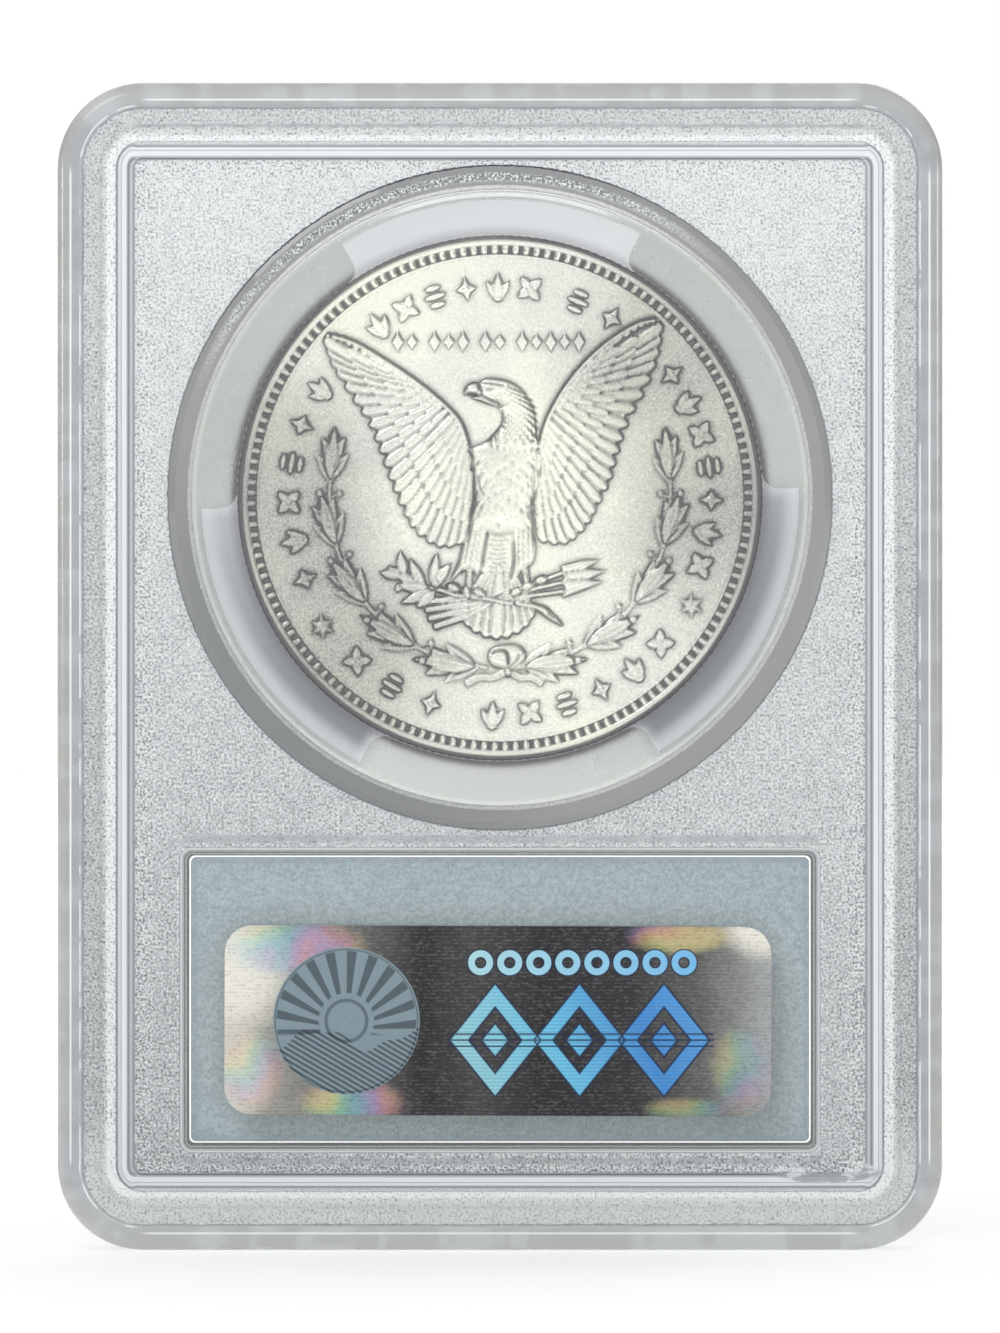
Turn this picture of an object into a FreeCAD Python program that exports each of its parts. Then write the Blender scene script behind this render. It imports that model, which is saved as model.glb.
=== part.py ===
import FreeCAD, Part

import math
import os

# Graded coin slab: a sealed two-shell holder for one large silver coin.
# The slab stands upright on its lower edge. X is its width, Z its height and Y its thickness.
# The origin is at the middle of the lower edge. The back, with the sticker, faces -Y.
# All sizes are in millimetres.

# ---- driving dimensions: the holder
SLAB_WIDTH = 64.0
SLAB_HEIGHT = 84.4
SLAB_CORNER_RADIUS = 6.2

BACK_RIM_Y = 3.8            # the back rim's flat top, from the weld plane at Y = 0
BACK_LEDGE_Y = 3.3          # the lower ledge outside the back rim, which clears a front lip in a stack
FRONT_LIP_Y = 3.8           # the top of the front's stacking lip
FRONT_RIM_Y = 3.35          # the front rim inside the lip, where another slab's back rim rests
PANEL_Y = 2.85              # the outer face of both frosted panels
LENS_Y = 3.05               # the outer face of both round lenses

LEDGE_SHOULDER_RADIUS = 1.0
LIP_SHOULDER_RADIUS = 0.8

# Insets from the slab's outline.
RIM_FOOT_INSET = 1.72       # foot of the back rim's outer wall
RIM_TOP_INSET = 1.9         # the same wall at the rim's top
LIP_INNER_INSET = 1.75      # inner wall of the front's stacking lip
STEP_TOP_INSET = 4.35       # where the rim's flat top ends
STEP_LEDGE_INSET = 4.6      # where the polished ledge starts
LEDGE_END_INSET = 5.3       # where the polished ledge ends
PANEL_INSET = 5.6           # where the frosted panel starts

# ---- driving dimensions: the inside
WALL_THICKNESS = 1.5
CAVITY_INSET = 5.2          # inner face of the slab's side walls
TONGUE_INSET = 2.6
TONGUE_WIDTH = 1.0
TONGUE_HEIGHT = 1.0
TONGUE_CLEARANCE = 0.1

LENS_CENTRE_Z = 54.4
LENS_FOOT_RADIUS = 24.0     # where the lens's sloped edge meets the panel
LENS_TOP_RADIUS = 23.5
POCKET_RADIUS = 22.35       # the round pocket for the insert ring, inside its rib

# ---- driving dimensions: the insert ring
RING_OUTER_RADIUS = 22.25
RING_BAND_RADIUS = 21.7     # inner radius of the ring's thin band, in its three windows
RING_THICKNESS = 2.6
PRONG_COUNT = 3
PRONG_SPAN_DEG = 60.0
PRONG_START_DEG = 2.0
PRONG_CORNER_RADIUS = 1.2
COIN_CLEARANCE = 0.05

# ---- driving dimensions: the coin
COIN_RADIUS = 19.05
COIN_THICKNESS = 2.4
COIN_RIM_WIDTH = 0.8
COIN_FIELD_DROP = 0.08      # the mean level of the struck design below the rim
COIN_RIM_SLOPE = 0.08
COIN_EDGE_RADIUS = 0.2

# ---- driving dimensions: the label and the sticker
LABEL_CENTRE_Z = 18.1
LABEL_WINDOW_WIDTH = 46.1
LABEL_WINDOW_HEIGHT = 21.9
LABEL_WINDOW_RADIUS = 0.8
LABEL_POCKET_CLEARANCE = 0.1
LABEL_POCKET_DEPTH = 0.2
LABEL_WIDTH = 44.8
LABEL_HEIGHT = 20.6
LABEL_THICKNESS = 0.36
LABEL_CORNER_RADIUS = 0.4

STICKER_WIDTH = 39.5
STICKER_HEIGHT = 13.7
STICKER_THICKNESS = 0.1
STICKER_CORNER_RADIUS = 2.0
STICKER_CENTRE_X = -0.15
STICKER_CENTRE_Z = 16.6
STICKER_TILT_DEG = 0.2      # the sticker is put on by hand, not quite square

SLAB_CENTRE_Z = SLAB_HEIGHT / 2.0
CAVITY_Y = PANEL_Y - WALL_THICKNESS

BACK = -1.0                 # the back shell lies on the -Y side of the weld plane
FRONT = 1.0


def rounded_outline(width, height, radius, y):
    """A closed rounded rectangle about the Y axis, in the plane at y."""
    half_w = width / 2.0
    half_h = height / 2.0
    reach = radius * math.sqrt(0.5)
    edges = []
    corners = [(1, 1), (-1, 1), (-1, -1), (1, -1)]
    arcs = []
    for sign_x, sign_z in corners:
        centre_x = sign_x * (half_w - radius)
        centre_z = sign_z * (half_h - radius)
        side_point = FreeCAD.Vector(sign_x * half_w, y, centre_z)
        end_point = FreeCAD.Vector(centre_x, y, sign_z * half_h)
        middle = FreeCAD.Vector(centre_x + sign_x * reach, y, centre_z + sign_z * reach)
        if sign_x * sign_z > 0:
            arcs.append((side_point, middle, end_point))
        else:
            arcs.append((end_point, middle, side_point))
    for index, (start, middle, end) in enumerate(arcs):
        following = arcs[(index + 1) % len(arcs)]
        edges.append(Part.Arc(start, middle, end).toShape())
        edges.append(Part.LineSegment(end, following[0]).toShape())
    return Part.Wire(edges)


def rounded_plate(width, height, radius, centre_z, y_from, y_to):
    """A plate with rounded corners, from one Y to another."""
    face = Part.Face(rounded_outline(width, height, radius, y_from))
    plate = face.extrude(FreeCAD.Vector(0, y_to - y_from, 0))
    plate.translate(FreeCAD.Vector(0, 0, centre_z))
    return plate


def inset_outline(inset, y):
    """The slab's outline moved inwards by inset, with concentric corners."""
    outline = rounded_outline(
        SLAB_WIDTH - 2.0 * inset,
        SLAB_HEIGHT - 2.0 * inset,
        SLAB_CORNER_RADIUS - inset,
        y,
    )
    outline.translate(FreeCAD.Vector(0, 0, SLAB_CENTRE_Z))
    return outline


def inset_plate(inset, y_from, y_to):
    """A plate of the slab's outline moved inwards by inset."""
    face = Part.Face(inset_outline(inset, y_from))
    return face.extrude(FreeCAD.Vector(0, y_to - y_from, 0))


def sloped_plate(inset_from, y_from, inset_to, y_to):
    """A plate whose edge slopes from one inset of the outline to another."""
    wires = [inset_outline(inset_from, y_from), inset_outline(inset_to, y_to)]
    return Part.makeLoft(wires, True, True)


def disc(radius, centre_z, y_from, y_to):
    """A round plate about an axis along Y."""
    base = FreeCAD.Vector(0, min(y_from, y_to), centre_z)
    return Part.makeCylinder(radius, abs(y_to - y_from), base, FreeCAD.Vector(0, 1, 0))


def round_outer_edge(shape, y, radius):
    """Rounds the edges that run along the slab's outline at y."""
    edges = []
    for edge in shape.Edges:
        box = edge.BoundBox
        if abs(box.YMin - y) < 1e-6 and abs(box.YMax - y) < 1e-6:
            edges.append(edge)
    return shape.makeFillet(radius, edges)


def panel_recess(side, rim_y):
    """The space above the panel: two slopes with a flat polished ledge halfway down."""
    step_y = (rim_y + PANEL_Y) / 2.0
    upper = sloped_plate(STEP_TOP_INSET, side * rim_y, STEP_LEDGE_INSET, side * step_y)
    lower = sloped_plate(LEDGE_END_INSET, side * step_y, PANEL_INSET, side * PANEL_Y)
    return upper.fuse(lower)


def lens(side):
    """The round lens, which stands a little proud of the panel behind a sloped edge."""
    foot = PANEL_Y - 0.1
    base = disc(LENS_FOOT_RADIUS, LENS_CENTRE_Z, side * foot, side * PANEL_Y)
    slope = Part.makeCone(
        LENS_FOOT_RADIUS,
        LENS_TOP_RADIUS,
        LENS_Y - PANEL_Y,
        FreeCAD.Vector(0, side * PANEL_Y, LENS_CENTRE_Z),
        FreeCAD.Vector(0, side, 0),
    )
    return base.fuse(slope)


def inner_hollow(side):
    """The hollow between the side walls, around the coin's rib and the label's pad."""
    hollow = inset_plate(CAVITY_INSET, 0.0, side * CAVITY_Y)
    rib = disc(LENS_FOOT_RADIUS, LENS_CENTRE_Z, 0.0, side * CAVITY_Y)
    pad = rounded_plate(
        LABEL_WINDOW_WIDTH,
        LABEL_WINDOW_HEIGHT,
        LABEL_WINDOW_RADIUS,
        LABEL_CENTRE_Z,
        0.0,
        side * CAVITY_Y,
    )
    return hollow.cut(rib).cut(pad)


def pockets(side):
    """The round pocket for the insert ring and the shallow one for half the label."""
    round_pocket = disc(POCKET_RADIUS, LENS_CENTRE_Z, 0.0, side * CAVITY_Y)
    label_pocket = rounded_plate(
        LABEL_WIDTH + 2.0 * LABEL_POCKET_CLEARANCE,
        LABEL_HEIGHT + 2.0 * LABEL_POCKET_CLEARANCE,
        LABEL_CORNER_RADIUS,
        LABEL_CENTRE_Z,
        0.0,
        side * LABEL_POCKET_DEPTH,
    )
    return [round_pocket, label_pocket]


def weld_ring(clearance, height):
    """A ring along the slab's outline: the front's tongue, or the back's groove for it."""
    outer = inset_plate(TONGUE_INSET - clearance, 0.0, -height)
    inner = inset_plate(TONGUE_INSET + TONGUE_WIDTH + clearance, 0.0, -height)
    return outer.cut(inner)


def make_back_shell():
    """The photographed half: a low outer ledge, the frosted rim, the groove and the panel."""
    shell = inset_plate(0.0, 0.0, BACK * BACK_LEDGE_Y)
    shell = round_outer_edge(shell, BACK * BACK_LEDGE_Y, LEDGE_SHOULDER_RADIUS)
    rim = sloped_plate(RIM_FOOT_INSET, BACK * BACK_LEDGE_Y, RIM_TOP_INSET, BACK * BACK_RIM_Y)
    shell = shell.fuse(rim)
    shell = shell.cut(panel_recess(BACK, BACK_RIM_Y))
    shell = shell.fuse(lens(BACK))
    shell = shell.cut(inner_hollow(BACK))
    for pocket in pockets(BACK):
        shell = shell.cut(pocket)
    return shell.cut(weld_ring(TONGUE_CLEARANCE, TONGUE_HEIGHT)).removeSplitter()


def make_front_shell():
    """The label side: a stacking lip, the rim inside it, the panel and the weld tongue."""
    shell = inset_plate(0.0, 0.0, FRONT_LIP_Y)
    shell = round_outer_edge(shell, FRONT_LIP_Y, LIP_SHOULDER_RADIUS)
    shell = shell.cut(inset_plate(LIP_INNER_INSET, FRONT_RIM_Y, FRONT_LIP_Y))
    shell = shell.cut(panel_recess(FRONT, FRONT_RIM_Y))
    shell = shell.fuse(lens(FRONT))
    shell = shell.cut(inner_hollow(FRONT))
    for pocket in pockets(FRONT):
        shell = shell.cut(pocket)
    return shell.fuse(weld_ring(0.0, TONGUE_HEIGHT)).removeSplitter()


def make_prong(start_deg):
    """One prong: a sector from the ring's band to the coin's edge, its inner corners rounded.

    start_deg is its clockwise end, counted anticlockwise from +X as seen from the back.
    """
    inner = COIN_RADIUS + COIN_CLEARANCE
    outer = (RING_BAND_RADIUS + RING_OUTER_RADIUS) / 2.0
    half = RING_THICKNESS / 2.0
    axis = FreeCAD.Vector(0, -1, 0)
    base = FreeCAD.Vector(0, half, LENS_CENTRE_Z)
    sector = Part.makeCylinder(outer, RING_THICKNESS, base, axis, PRONG_SPAN_DEG)
    sector = sector.cut(disc(inner, LENS_CENTRE_Z, -half - 1.0, half + 1.0))
    corners = []
    for edge in sector.Edges:
        box = edge.BoundBox
        radius = math.hypot(box.Center.x, box.Center.z - LENS_CENTRE_Z)
        if box.YLength > RING_THICKNESS - 0.01 and abs(radius - inner) < 0.05:
            corners.append(edge)
    sector = sector.makeFillet(PRONG_CORNER_RADIUS, corners).Solids[0]
    centre = sector.CenterOfMass
    lies_at_deg = math.degrees(math.atan2(centre.z - LENS_CENTRE_Z, centre.x))
    turn_deg = start_deg + PRONG_SPAN_DEG / 2.0 - lies_at_deg
    sector.rotate(FreeCAD.Vector(0, 0, LENS_CENTRE_Z), axis, turn_deg)
    return sector


def make_coin_insert_ring():
    """A thin round band with three wide prongs that reach in to the coin."""
    half = RING_THICKNESS / 2.0
    ring = disc(RING_OUTER_RADIUS, LENS_CENTRE_Z, -half, half)
    ring = ring.cut(disc(RING_BAND_RADIUS, LENS_CENTRE_Z, -half, half))
    for index in range(PRONG_COUNT):
        ring = ring.fuse(make_prong(PRONG_START_DEG + index * 360.0 / PRONG_COUNT))
    return ring.removeSplitter()


def make_coin():
    """The coin's solid: raised rims on both faces, with the design's mean level inside them."""
    half = COIN_THICKNESS / 2.0
    blank = disc(COIN_RADIUS, LENS_CENTRE_Z, -half, half)
    circles = [edge for edge in blank.Edges if edge.Closed]
    blank = blank.makeFillet(COIN_EDGE_RADIUS, circles)
    field_radius = COIN_RADIUS - COIN_RIM_WIDTH
    for side in (BACK, FRONT):
        dish = Part.makeCone(
            field_radius,
            field_radius - COIN_RIM_SLOPE,
            COIN_FIELD_DROP,
            FreeCAD.Vector(0, side * half, LENS_CENTRE_Z),
            FreeCAD.Vector(0, -side, 0),
        )
        blank = blank.cut(dish)
    return blank


def make_label_card():
    """The printed card, half in each shell's label pocket."""
    half = LABEL_THICKNESS / 2.0
    return rounded_plate(LABEL_WIDTH, LABEL_HEIGHT, LABEL_CORNER_RADIUS, LABEL_CENTRE_Z, -half, half)


def make_security_sticker():
    """The foil sticker on the outside of the back panel, over the label window."""
    outer_y = BACK * (PANEL_Y + STICKER_THICKNESS)
    sticker = rounded_plate(
        STICKER_WIDTH,
        STICKER_HEIGHT,
        STICKER_CORNER_RADIUS,
        0.0,
        BACK * PANEL_Y,
        outer_y,
    )
    sticker.rotate(FreeCAD.Vector(0, 0, 0), FreeCAD.Vector(0, 1, 0), STICKER_TILT_DEG)
    sticker.translate(FreeCAD.Vector(STICKER_CENTRE_X, 0, STICKER_CENTRE_Z))
    return sticker


pieces = {
    "back_shell": make_back_shell(),
    "front_shell": make_front_shell(),
    "coin_insert_ring": make_coin_insert_ring(),
    "coin": make_coin(),
    "label_card": make_label_card(),
    "security_sticker": make_security_sticker(),
}

os.makedirs("parts", exist_ok=True)
for name, shape in pieces.items():
    print(name, "solids", len(shape.Solids), "valid", shape.isValid(), "volume mm3", round(shape.Volume, 2))
    shape.exportStep("parts/" + name + ".step")
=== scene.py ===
import functools
import math

import bpy
import numpy as np
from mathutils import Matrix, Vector


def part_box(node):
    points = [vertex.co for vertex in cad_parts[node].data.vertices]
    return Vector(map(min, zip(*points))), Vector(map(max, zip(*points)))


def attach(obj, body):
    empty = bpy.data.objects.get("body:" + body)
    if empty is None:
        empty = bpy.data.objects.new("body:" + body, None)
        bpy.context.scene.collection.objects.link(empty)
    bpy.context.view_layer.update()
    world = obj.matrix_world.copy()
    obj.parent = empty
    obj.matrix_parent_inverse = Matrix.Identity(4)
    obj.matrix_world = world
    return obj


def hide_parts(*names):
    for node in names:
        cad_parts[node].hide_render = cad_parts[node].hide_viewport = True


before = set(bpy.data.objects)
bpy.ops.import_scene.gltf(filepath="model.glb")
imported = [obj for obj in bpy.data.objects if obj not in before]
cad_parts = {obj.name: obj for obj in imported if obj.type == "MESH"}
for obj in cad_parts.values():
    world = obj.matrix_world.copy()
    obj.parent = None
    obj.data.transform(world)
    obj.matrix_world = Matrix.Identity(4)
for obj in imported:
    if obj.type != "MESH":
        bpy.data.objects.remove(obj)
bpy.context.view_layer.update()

MM = 0.001

# ---------------------------------------------------------------- the holder's sizes, in mm
SLAB_CORNER_RADIUS = 6.2
STEP_TOP_INSET = 4.35       # from the outline in to the top of the step
PANEL_INSET = 5.6           # and to the frosted panel
LENS_FOOT_RADIUS = 24.0
LENS_TOP_RADIUS = 23.5
LENS_CLEAR_RADIUS = 22.9
POCKET_LINE = 22.5          # the radius of the coin pocket's wall
LABEL_WINDOW = (46.1, 21.9, 0.8)    # width, height and corner radius
LABEL_CARD = (44.8, 20.6, 0.4)
OUTER_FACE_Y = 2.5          # the shells' surfaces beyond this are their outer faces
BACK_LINES = (0.98, 1.75, 1.9)      # insets of the rim's bright line, the weld line and the rim's foot
FRONT_LINES = (0.75, 1.72, 1.8)
CLEAR_TINT = (0.98, 0.985, 0.985)
# colours of the painted shade over the ring round the coin, and of its deepest part in the lower windows
RING_SHADE_TINT = (0.50, 0.52, 0.54)
DEEP_RING_SHADE_TINT = (0.20, 0.215, 0.23)
WINDOW_ANGLE = math.radians(92.0)   # the middle of the insert ring's upper window
MELT_CENTRE = (23.6, 5.7)           # a smear of melted plastic on the back
MELT_HALF = (4.3, 0.9)

# ---------------------------------------------------------------- the security sticker, in mm
STICKER_CENTRE_X = -0.15
STICKER_CENTRE_Z = 16.6
STICKER_WIDTH = 39.5
FOIL_ROW = 0.26             # the pitch of its fine horizontal lines
VIGNETTE_X = -10.95
VIGNETTE_RADIUS = 5.3
ORNAMENT_CENTRES = (-0.2, 5.9, 12.0)
ORNAMENT_HALF = (3.3, 4.1)
ORNAMENT_UP = -1.4
ROW_START = -2.3            # the row of rings above the ornaments
ROW_PITCH = 2.1
ROW_COUNT = 8
ROW_UP = 4.2
# the foil's colour across its width, with its reflections painted in: dark in the middle, pale at the ends
FOIL_SHADES = [(0.0, (0.44, 0.43, 0.38)), (0.12, (0.26, 0.26, 0.24)), (0.27, (0.10, 0.10, 0.10)),
               (0.36, (0.022, 0.022, 0.024)), (0.46, (0.055, 0.055, 0.056)), (0.58, (0.022, 0.022, 0.024)),
               (0.74, (0.030, 0.030, 0.034)), (0.86, (0.10, 0.10, 0.10)), (0.94, (0.24, 0.25, 0.24)),
               (1.0, (0.36, 0.38, 0.37))]
# the hues of the foil's painted rainbow reflections
RAINBOW = [(0.0, (0.75, 0.36, 0.42)), (0.18, (0.80, 0.55, 0.28)), (0.36, (0.72, 0.72, 0.30)),
           (0.54, (0.28, 0.62, 0.42)), (0.72, (0.22, 0.48, 0.58)), (0.88, (0.48, 0.34, 0.62)),
           (1.0, (0.75, 0.36, 0.42))]
CYANS = [(0.0, (0.30, 0.62, 0.70)), (0.35, (0.16, 0.55, 0.80)), (0.7, (0.06, 0.27, 0.66)),
         (1.0, (0.10, 0.36, 0.74))]

slab_low, slab_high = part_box("back_shell")
coin_low, coin_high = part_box("coin")
label_low, label_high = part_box("label_card")
SLAB_WIDTH = (slab_high.x - slab_low.x) / MM
SLAB_HEIGHT = (slab_high.z - slab_low.z) / MM
SLAB_OUTLINE = (SLAB_WIDTH, SLAB_HEIGHT, SLAB_CORNER_RADIUS)
COIN_CENTRE_Z = (coin_low.z + coin_high.z) / 2 / MM
COIN_RADIUS = (coin_high.x - coin_low.x) / 2 / MM
COIN_HALF = (coin_high.y - coin_low.y) / 2 / MM
LABEL_CENTRE_Z = (label_low.z + label_high.z) / 2 / MM


# ---------------------------------------------------------------- numbers in a material
class Field:
    """A number that varies over a surface. Arithmetic on it adds Math nodes to its tree."""

    def __init__(self, tree, socket):
        self.tree = tree
        self.socket = socket

    def math(self, operation, *others, clamp=False):
        node = self.tree.nodes.new("ShaderNodeMath")
        node.operation = operation
        node.use_clamp = clamp
        for index, value in enumerate((self, *others)):
            if isinstance(value, Field):
                self.tree.links.new(value.socket, node.inputs[index])
            else:
                node.inputs[index].default_value = value
        return Field(self.tree, node.outputs[0])

    def __add__(self, other):
        return self.math("ADD", other)

    def __sub__(self, other):
        return self.math("SUBTRACT", other)

    def __mul__(self, other):
        return self.math("MULTIPLY", other)

    def __rsub__(self, other):
        return (self * -1.0).math("ADD", other)

    __radd__ = __add__
    __rmul__ = __mul__

    def min(self, other):
        return self.math("MINIMUM", other)

    def max(self, other):
        return self.math("MAXIMUM", other)

    def abs(self):
        return self.math("ABSOLUTE")

    def step(self, edge, softness):
        """0 below edge, 1 above it, with a soft change of that width."""
        node = self.tree.nodes.new("ShaderNodeMapRange")
        node.interpolation_type = "SMOOTHSTEP"
        self.tree.links.new(self.socket, node.inputs["Value"])
        node.inputs["From Min"].default_value = edge - softness / 2
        node.inputs["From Max"].default_value = edge + softness / 2
        return Field(self.tree, node.outputs["Result"])

    def fall(self, edge, softness):
        """1 below edge, 0 above it."""
        return 1.0 - self.step(edge, softness)

    def band(self, low, high, softness):
        """1 between low and high and 0 outside."""
        return self.step(low, softness) - self.step(high, softness)


class Surface:
    """A material being built: its tree, its Principled shader and its position in mm."""

    def __init__(self, name):
        self.material = bpy.data.materials.new(name)
        self.material.use_nodes = True
        self.tree = self.material.node_tree
        self.link = self.tree.links.new
        self.shader = next(n for n in self.tree.nodes if n.type == "BSDF_PRINCIPLED")
        self.output = next(n for n in self.tree.nodes if n.type == "OUTPUT_MATERIAL")
        coordinates = self.tree.nodes.new("ShaderNodeTexCoord")
        scale = self.tree.nodes.new("ShaderNodeVectorMath")
        scale.operation = "SCALE"
        scale.inputs["Scale"].default_value = 1 / MM
        self.link(coordinates.outputs["Object"], scale.inputs[0])
        self.position = scale.outputs[0]
        parts = self.tree.nodes.new("ShaderNodeSeparateXYZ")
        self.link(self.position, parts.inputs[0])
        self.x, self.y, self.z = (Field(self.tree, s) for s in parts.outputs)

    def set(self, **values):
        for name, value in values.items():
            self.shader.inputs[name.replace("_", " ")].default_value = value

    def drive(self, name, field):
        self.link(field.socket, self.shader.inputs[name])

    def noise(self, size_mm, detail=2.0, roughness=0.5, stretch=(1, 1, 1)):
        """Noise whose lumps are about size_mm across."""
        node = self.tree.nodes.new("ShaderNodeTexNoise")
        node.inputs["Scale"].default_value = 1.0
        node.inputs["Detail"].default_value = detail
        node.inputs["Roughness"].default_value = roughness
        mapping = self.tree.nodes.new("ShaderNodeVectorMath")
        mapping.operation = "MULTIPLY"
        mapping.inputs[1].default_value = [s / size_mm for s in stretch]
        self.link(self.position, mapping.inputs[0])
        self.link(mapping.outputs[0], node.inputs["Vector"])
        return Field(self.tree, node.outputs["Fac"])

    def blend(self, factor, low, high):
        """A colour from low to high, each a colour or another blend's socket."""
        node = self.tree.nodes.new("ShaderNodeMix")
        node.data_type = "RGBA"
        self.link(factor.socket, node.inputs["Factor"])
        for name, value in (("A", low), ("B", high)):
            socket = next(s for s in node.inputs if s.name == name and s.type == "RGBA")
            if isinstance(value, (tuple, list)):
                socket.default_value = (*value, 1.0)
            else:
                self.link(value, socket)
        return next(s for s in node.outputs if s.type == "RGBA")

    def ramp(self, field, stops):
        """A colour that runs through stops, a list of (place, colour), as field runs from 0 to 1."""
        node = self.tree.nodes.new("ShaderNodeValToRGB")
        self.link(field.socket, node.inputs["Fac"])
        elements = node.color_ramp.elements
        while len(elements) < len(stops):
            elements.new(0.5)
        for element, (place, colour) in zip(elements, stops):
            element.position = place
            element.color = (*colour, 1.0)
        return node.outputs["Color"]

    def paint(self, colour_socket):
        self.link(colour_socket, self.shader.inputs["Base Color"])

    def attribute(self, name):
        node = self.tree.nodes.new("ShaderNodeAttribute")
        node.attribute_name = name
        return Field(self.tree, node.outputs["Fac"])

    def bump(self, height, distance_mm, strength=1.0):
        node = self.tree.nodes.new("ShaderNodeBump")
        node.inputs["Strength"].default_value = strength
        node.inputs["Distance"].default_value = distance_mm * MM
        self.link(height.socket, node.inputs["Height"])
        self.link(node.outputs["Normal"], self.shader.inputs["Normal"])
        return node

    def let_lamps_through(self, tint):
        """Rays from lamps pass straight through, so that what is inside stays lit."""
        clear = self.tree.nodes.new("ShaderNodeBsdfTransparent")
        clear.inputs["Color"].default_value = (*tint, 1.0)
        path = self.tree.nodes.new("ShaderNodeLightPath")
        mix = self.tree.nodes.new("ShaderNodeMixShader")
        self.link(path.outputs["Is Shadow Ray"], mix.inputs["Fac"])
        self.link(self.shader.outputs[0], mix.inputs[1])
        self.link(clear.outputs[0], mix.inputs[2])
        self.link(mix.outputs[0], self.output.inputs["Surface"])


def rounded_rectangle_inset(surface, width, height, radius, centre_z):
    """How far inside a rounded rectangle's outline a point lies, in mm; negative outside."""
    across = surface.x.abs() - (width / 2 - radius)
    upward = (surface.z - centre_z).abs() - (height / 2 - radius)
    beyond_x = across.max(0.0)
    beyond_z = upward.max(0.0)
    corner = (beyond_x * beyond_x + beyond_z * beyond_z).math("SQRT")
    inside = across.max(upward).min(0.0)
    return radius - (corner + inside)


def distance_from_lens_centre(surface):
    up = surface.z - COIN_CENTRE_Z
    return (surface.x * surface.x + up * up).math("SQRT")


def toward(turn, direction):
    """1 where the angle turn points in this direction, 0 on the opposite side."""
    return (turn - direction).math("COSINE") * 0.5 + 0.5


def grey(level, warmth=0.0):
    """A near-grey from its sRGB level, 0 to 255; positive warmth leans it to beige, negative to blue."""
    linear = (level / 255) ** 2.2
    return (linear * (0.975 + warmth), linear, linear * (1 - warmth))


class ShellZones:
    """Where things lie on a shell: distances in mm, noises, and zones that are 1 inside and 0 outside."""

    def __init__(self, s, rim_inset):
        self.inset = rounded_rectangle_inset(s, *SLAB_OUTLINE, SLAB_HEIGHT / 2)
        self.radius = distance_from_lens_centre(s)
        self.window = rounded_rectangle_inset(s, *LABEL_WINDOW, LABEL_CENTRE_Z)
        self.rough_edge = (s.noise(0.35, 3.0, 0.7) - 0.5) * 0.35
        self.drift = (s.noise(6.0, 2.0) - 0.5) * 0.25
        self.wander = (s.noise(1.6, 3.0, 0.7) - 0.5) * 0.3
        self.weld_break = s.noise(2.6, 2.0).step(0.48, 0.06)
        self.grain = s.noise(0.19, 2.0, 0.7)
        self.coarse = s.noise(0.8, 3.0, 0.6)
        self.clouds = s.noise(14.0, 2.0)

        self.turn = (s.z - COIN_CENTRE_Z).math("ARCTAN2", s.x)
        self.upper_left = toward(self.turn, 1.8).step(0.86, 0.24)
        self.lower_left = toward(self.turn, -2.3).step(0.86, 0.26)
        self.lower = toward(self.turn, 1.75).fall(0.5, 0.9)
        self.ends = 1.0 - s.x.abs().step(SLAB_WIDTH / 2 - 5.6, 0.8)
        from_middle = (s.z - SLAB_HEIGHT / 2).abs()
        corner = s.x.abs().step(SLAB_WIDTH / 2 - 6.5, 1.5) * from_middle.step(SLAB_HEIGHT / 2 - 6.5, 1.5)
        self.straight = 1.0 - corner
        self.line_place = self.inset - self.ends * 0.28

        self.face = s.y.abs().step(OUTER_FACE_Y, 0.05)
        self.rim = self.inset.fall(rim_inset, 0.1)
        frosted_rim = (self.inset + self.rough_edge * 0.5).band(rim_inset, STEP_TOP_INSET - 0.05, 0.08)
        self.frosted_rim = frosted_rim * self.face
        self.ledge = self.inset.band(STEP_TOP_INSET - 0.05, PANEL_INSET, 0.08) * self.face
        beyond_lens = (self.radius + self.rough_edge * 0.6).step(LENS_FOOT_RADIUS, 0.08)
        beyond_window = self.window.fall(-0.1, 0.1)
        self.panel = self.inset.step(PANEL_INSET, 0.08) * beyond_lens * beyond_window * self.face
        self.bevel = self.radius.band(POCKET_LINE - 0.25, LENS_FOOT_RADIUS, 0.1) * self.face
        lens_band = (self.radius + self.rough_edge).band(LENS_CLEAR_RADIUS, LENS_TOP_RADIUS, 0.3)
        self.lens_band = lens_band * self.face * self.upper_left
        self.window_edge = self.window.band(-0.3, 0.2, 0.1) * self.face
        self.frost = (self.frosted_rim + self.panel + self.lens_band).min(1.0)


def frosted_tint(s, zones):
    """The frosted zones: fine specks, with painted highlights along the rim's inner edge and beside the
    panel's edge, painted light on the rim low down, and painted light that grows toward the top and varies
    across the panel.
    """
    # painted highlight along the rim's inner edge
    painted_rim_highlight = zones.inset.step(3.45, 0.4) * zones.frosted_rim
    # painted light on the rim low down
    painted_low_rim_light = s.z.fall(8.0, 8.0) * zones.frosted_rim
    # painted highlight on the panel beside its edge
    painted_panel_highlight = zones.inset.fall(PANEL_INSET + 1.0, 1.4) * zones.panel
    speck = (zones.grain - 0.5) * 5.2 + (zones.coarse - 0.5) * 0.9
    speck = speck * (0.62 + painted_rim_highlight * 0.5 + painted_panel_highlight * 0.5 + zones.lens_band * 0.8)
    # painted light, brighter toward the top
    level = (zones.clouds - 0.5) * 0.12 + speck + painted_rim_highlight * 0.32 + painted_panel_highlight * 0.08 + s.z * 0.0028 + 0.46
    level = level - zones.lens_band * 0.5 + painted_low_rim_light * 0.36
    # painted light across the panel, brighter toward the top
    level = level + zones.panel * (s.z * 0.0018 + s.x * 0.0018 * (1.0 - s.z * 0.015) - 0.06)
    return s.ramp(level, [(0.0, grey(128, -0.03)), (0.45, grey(203, -0.02)), (0.75, grey(235, -0.01)),
                          (1.0, grey(255))])


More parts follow.
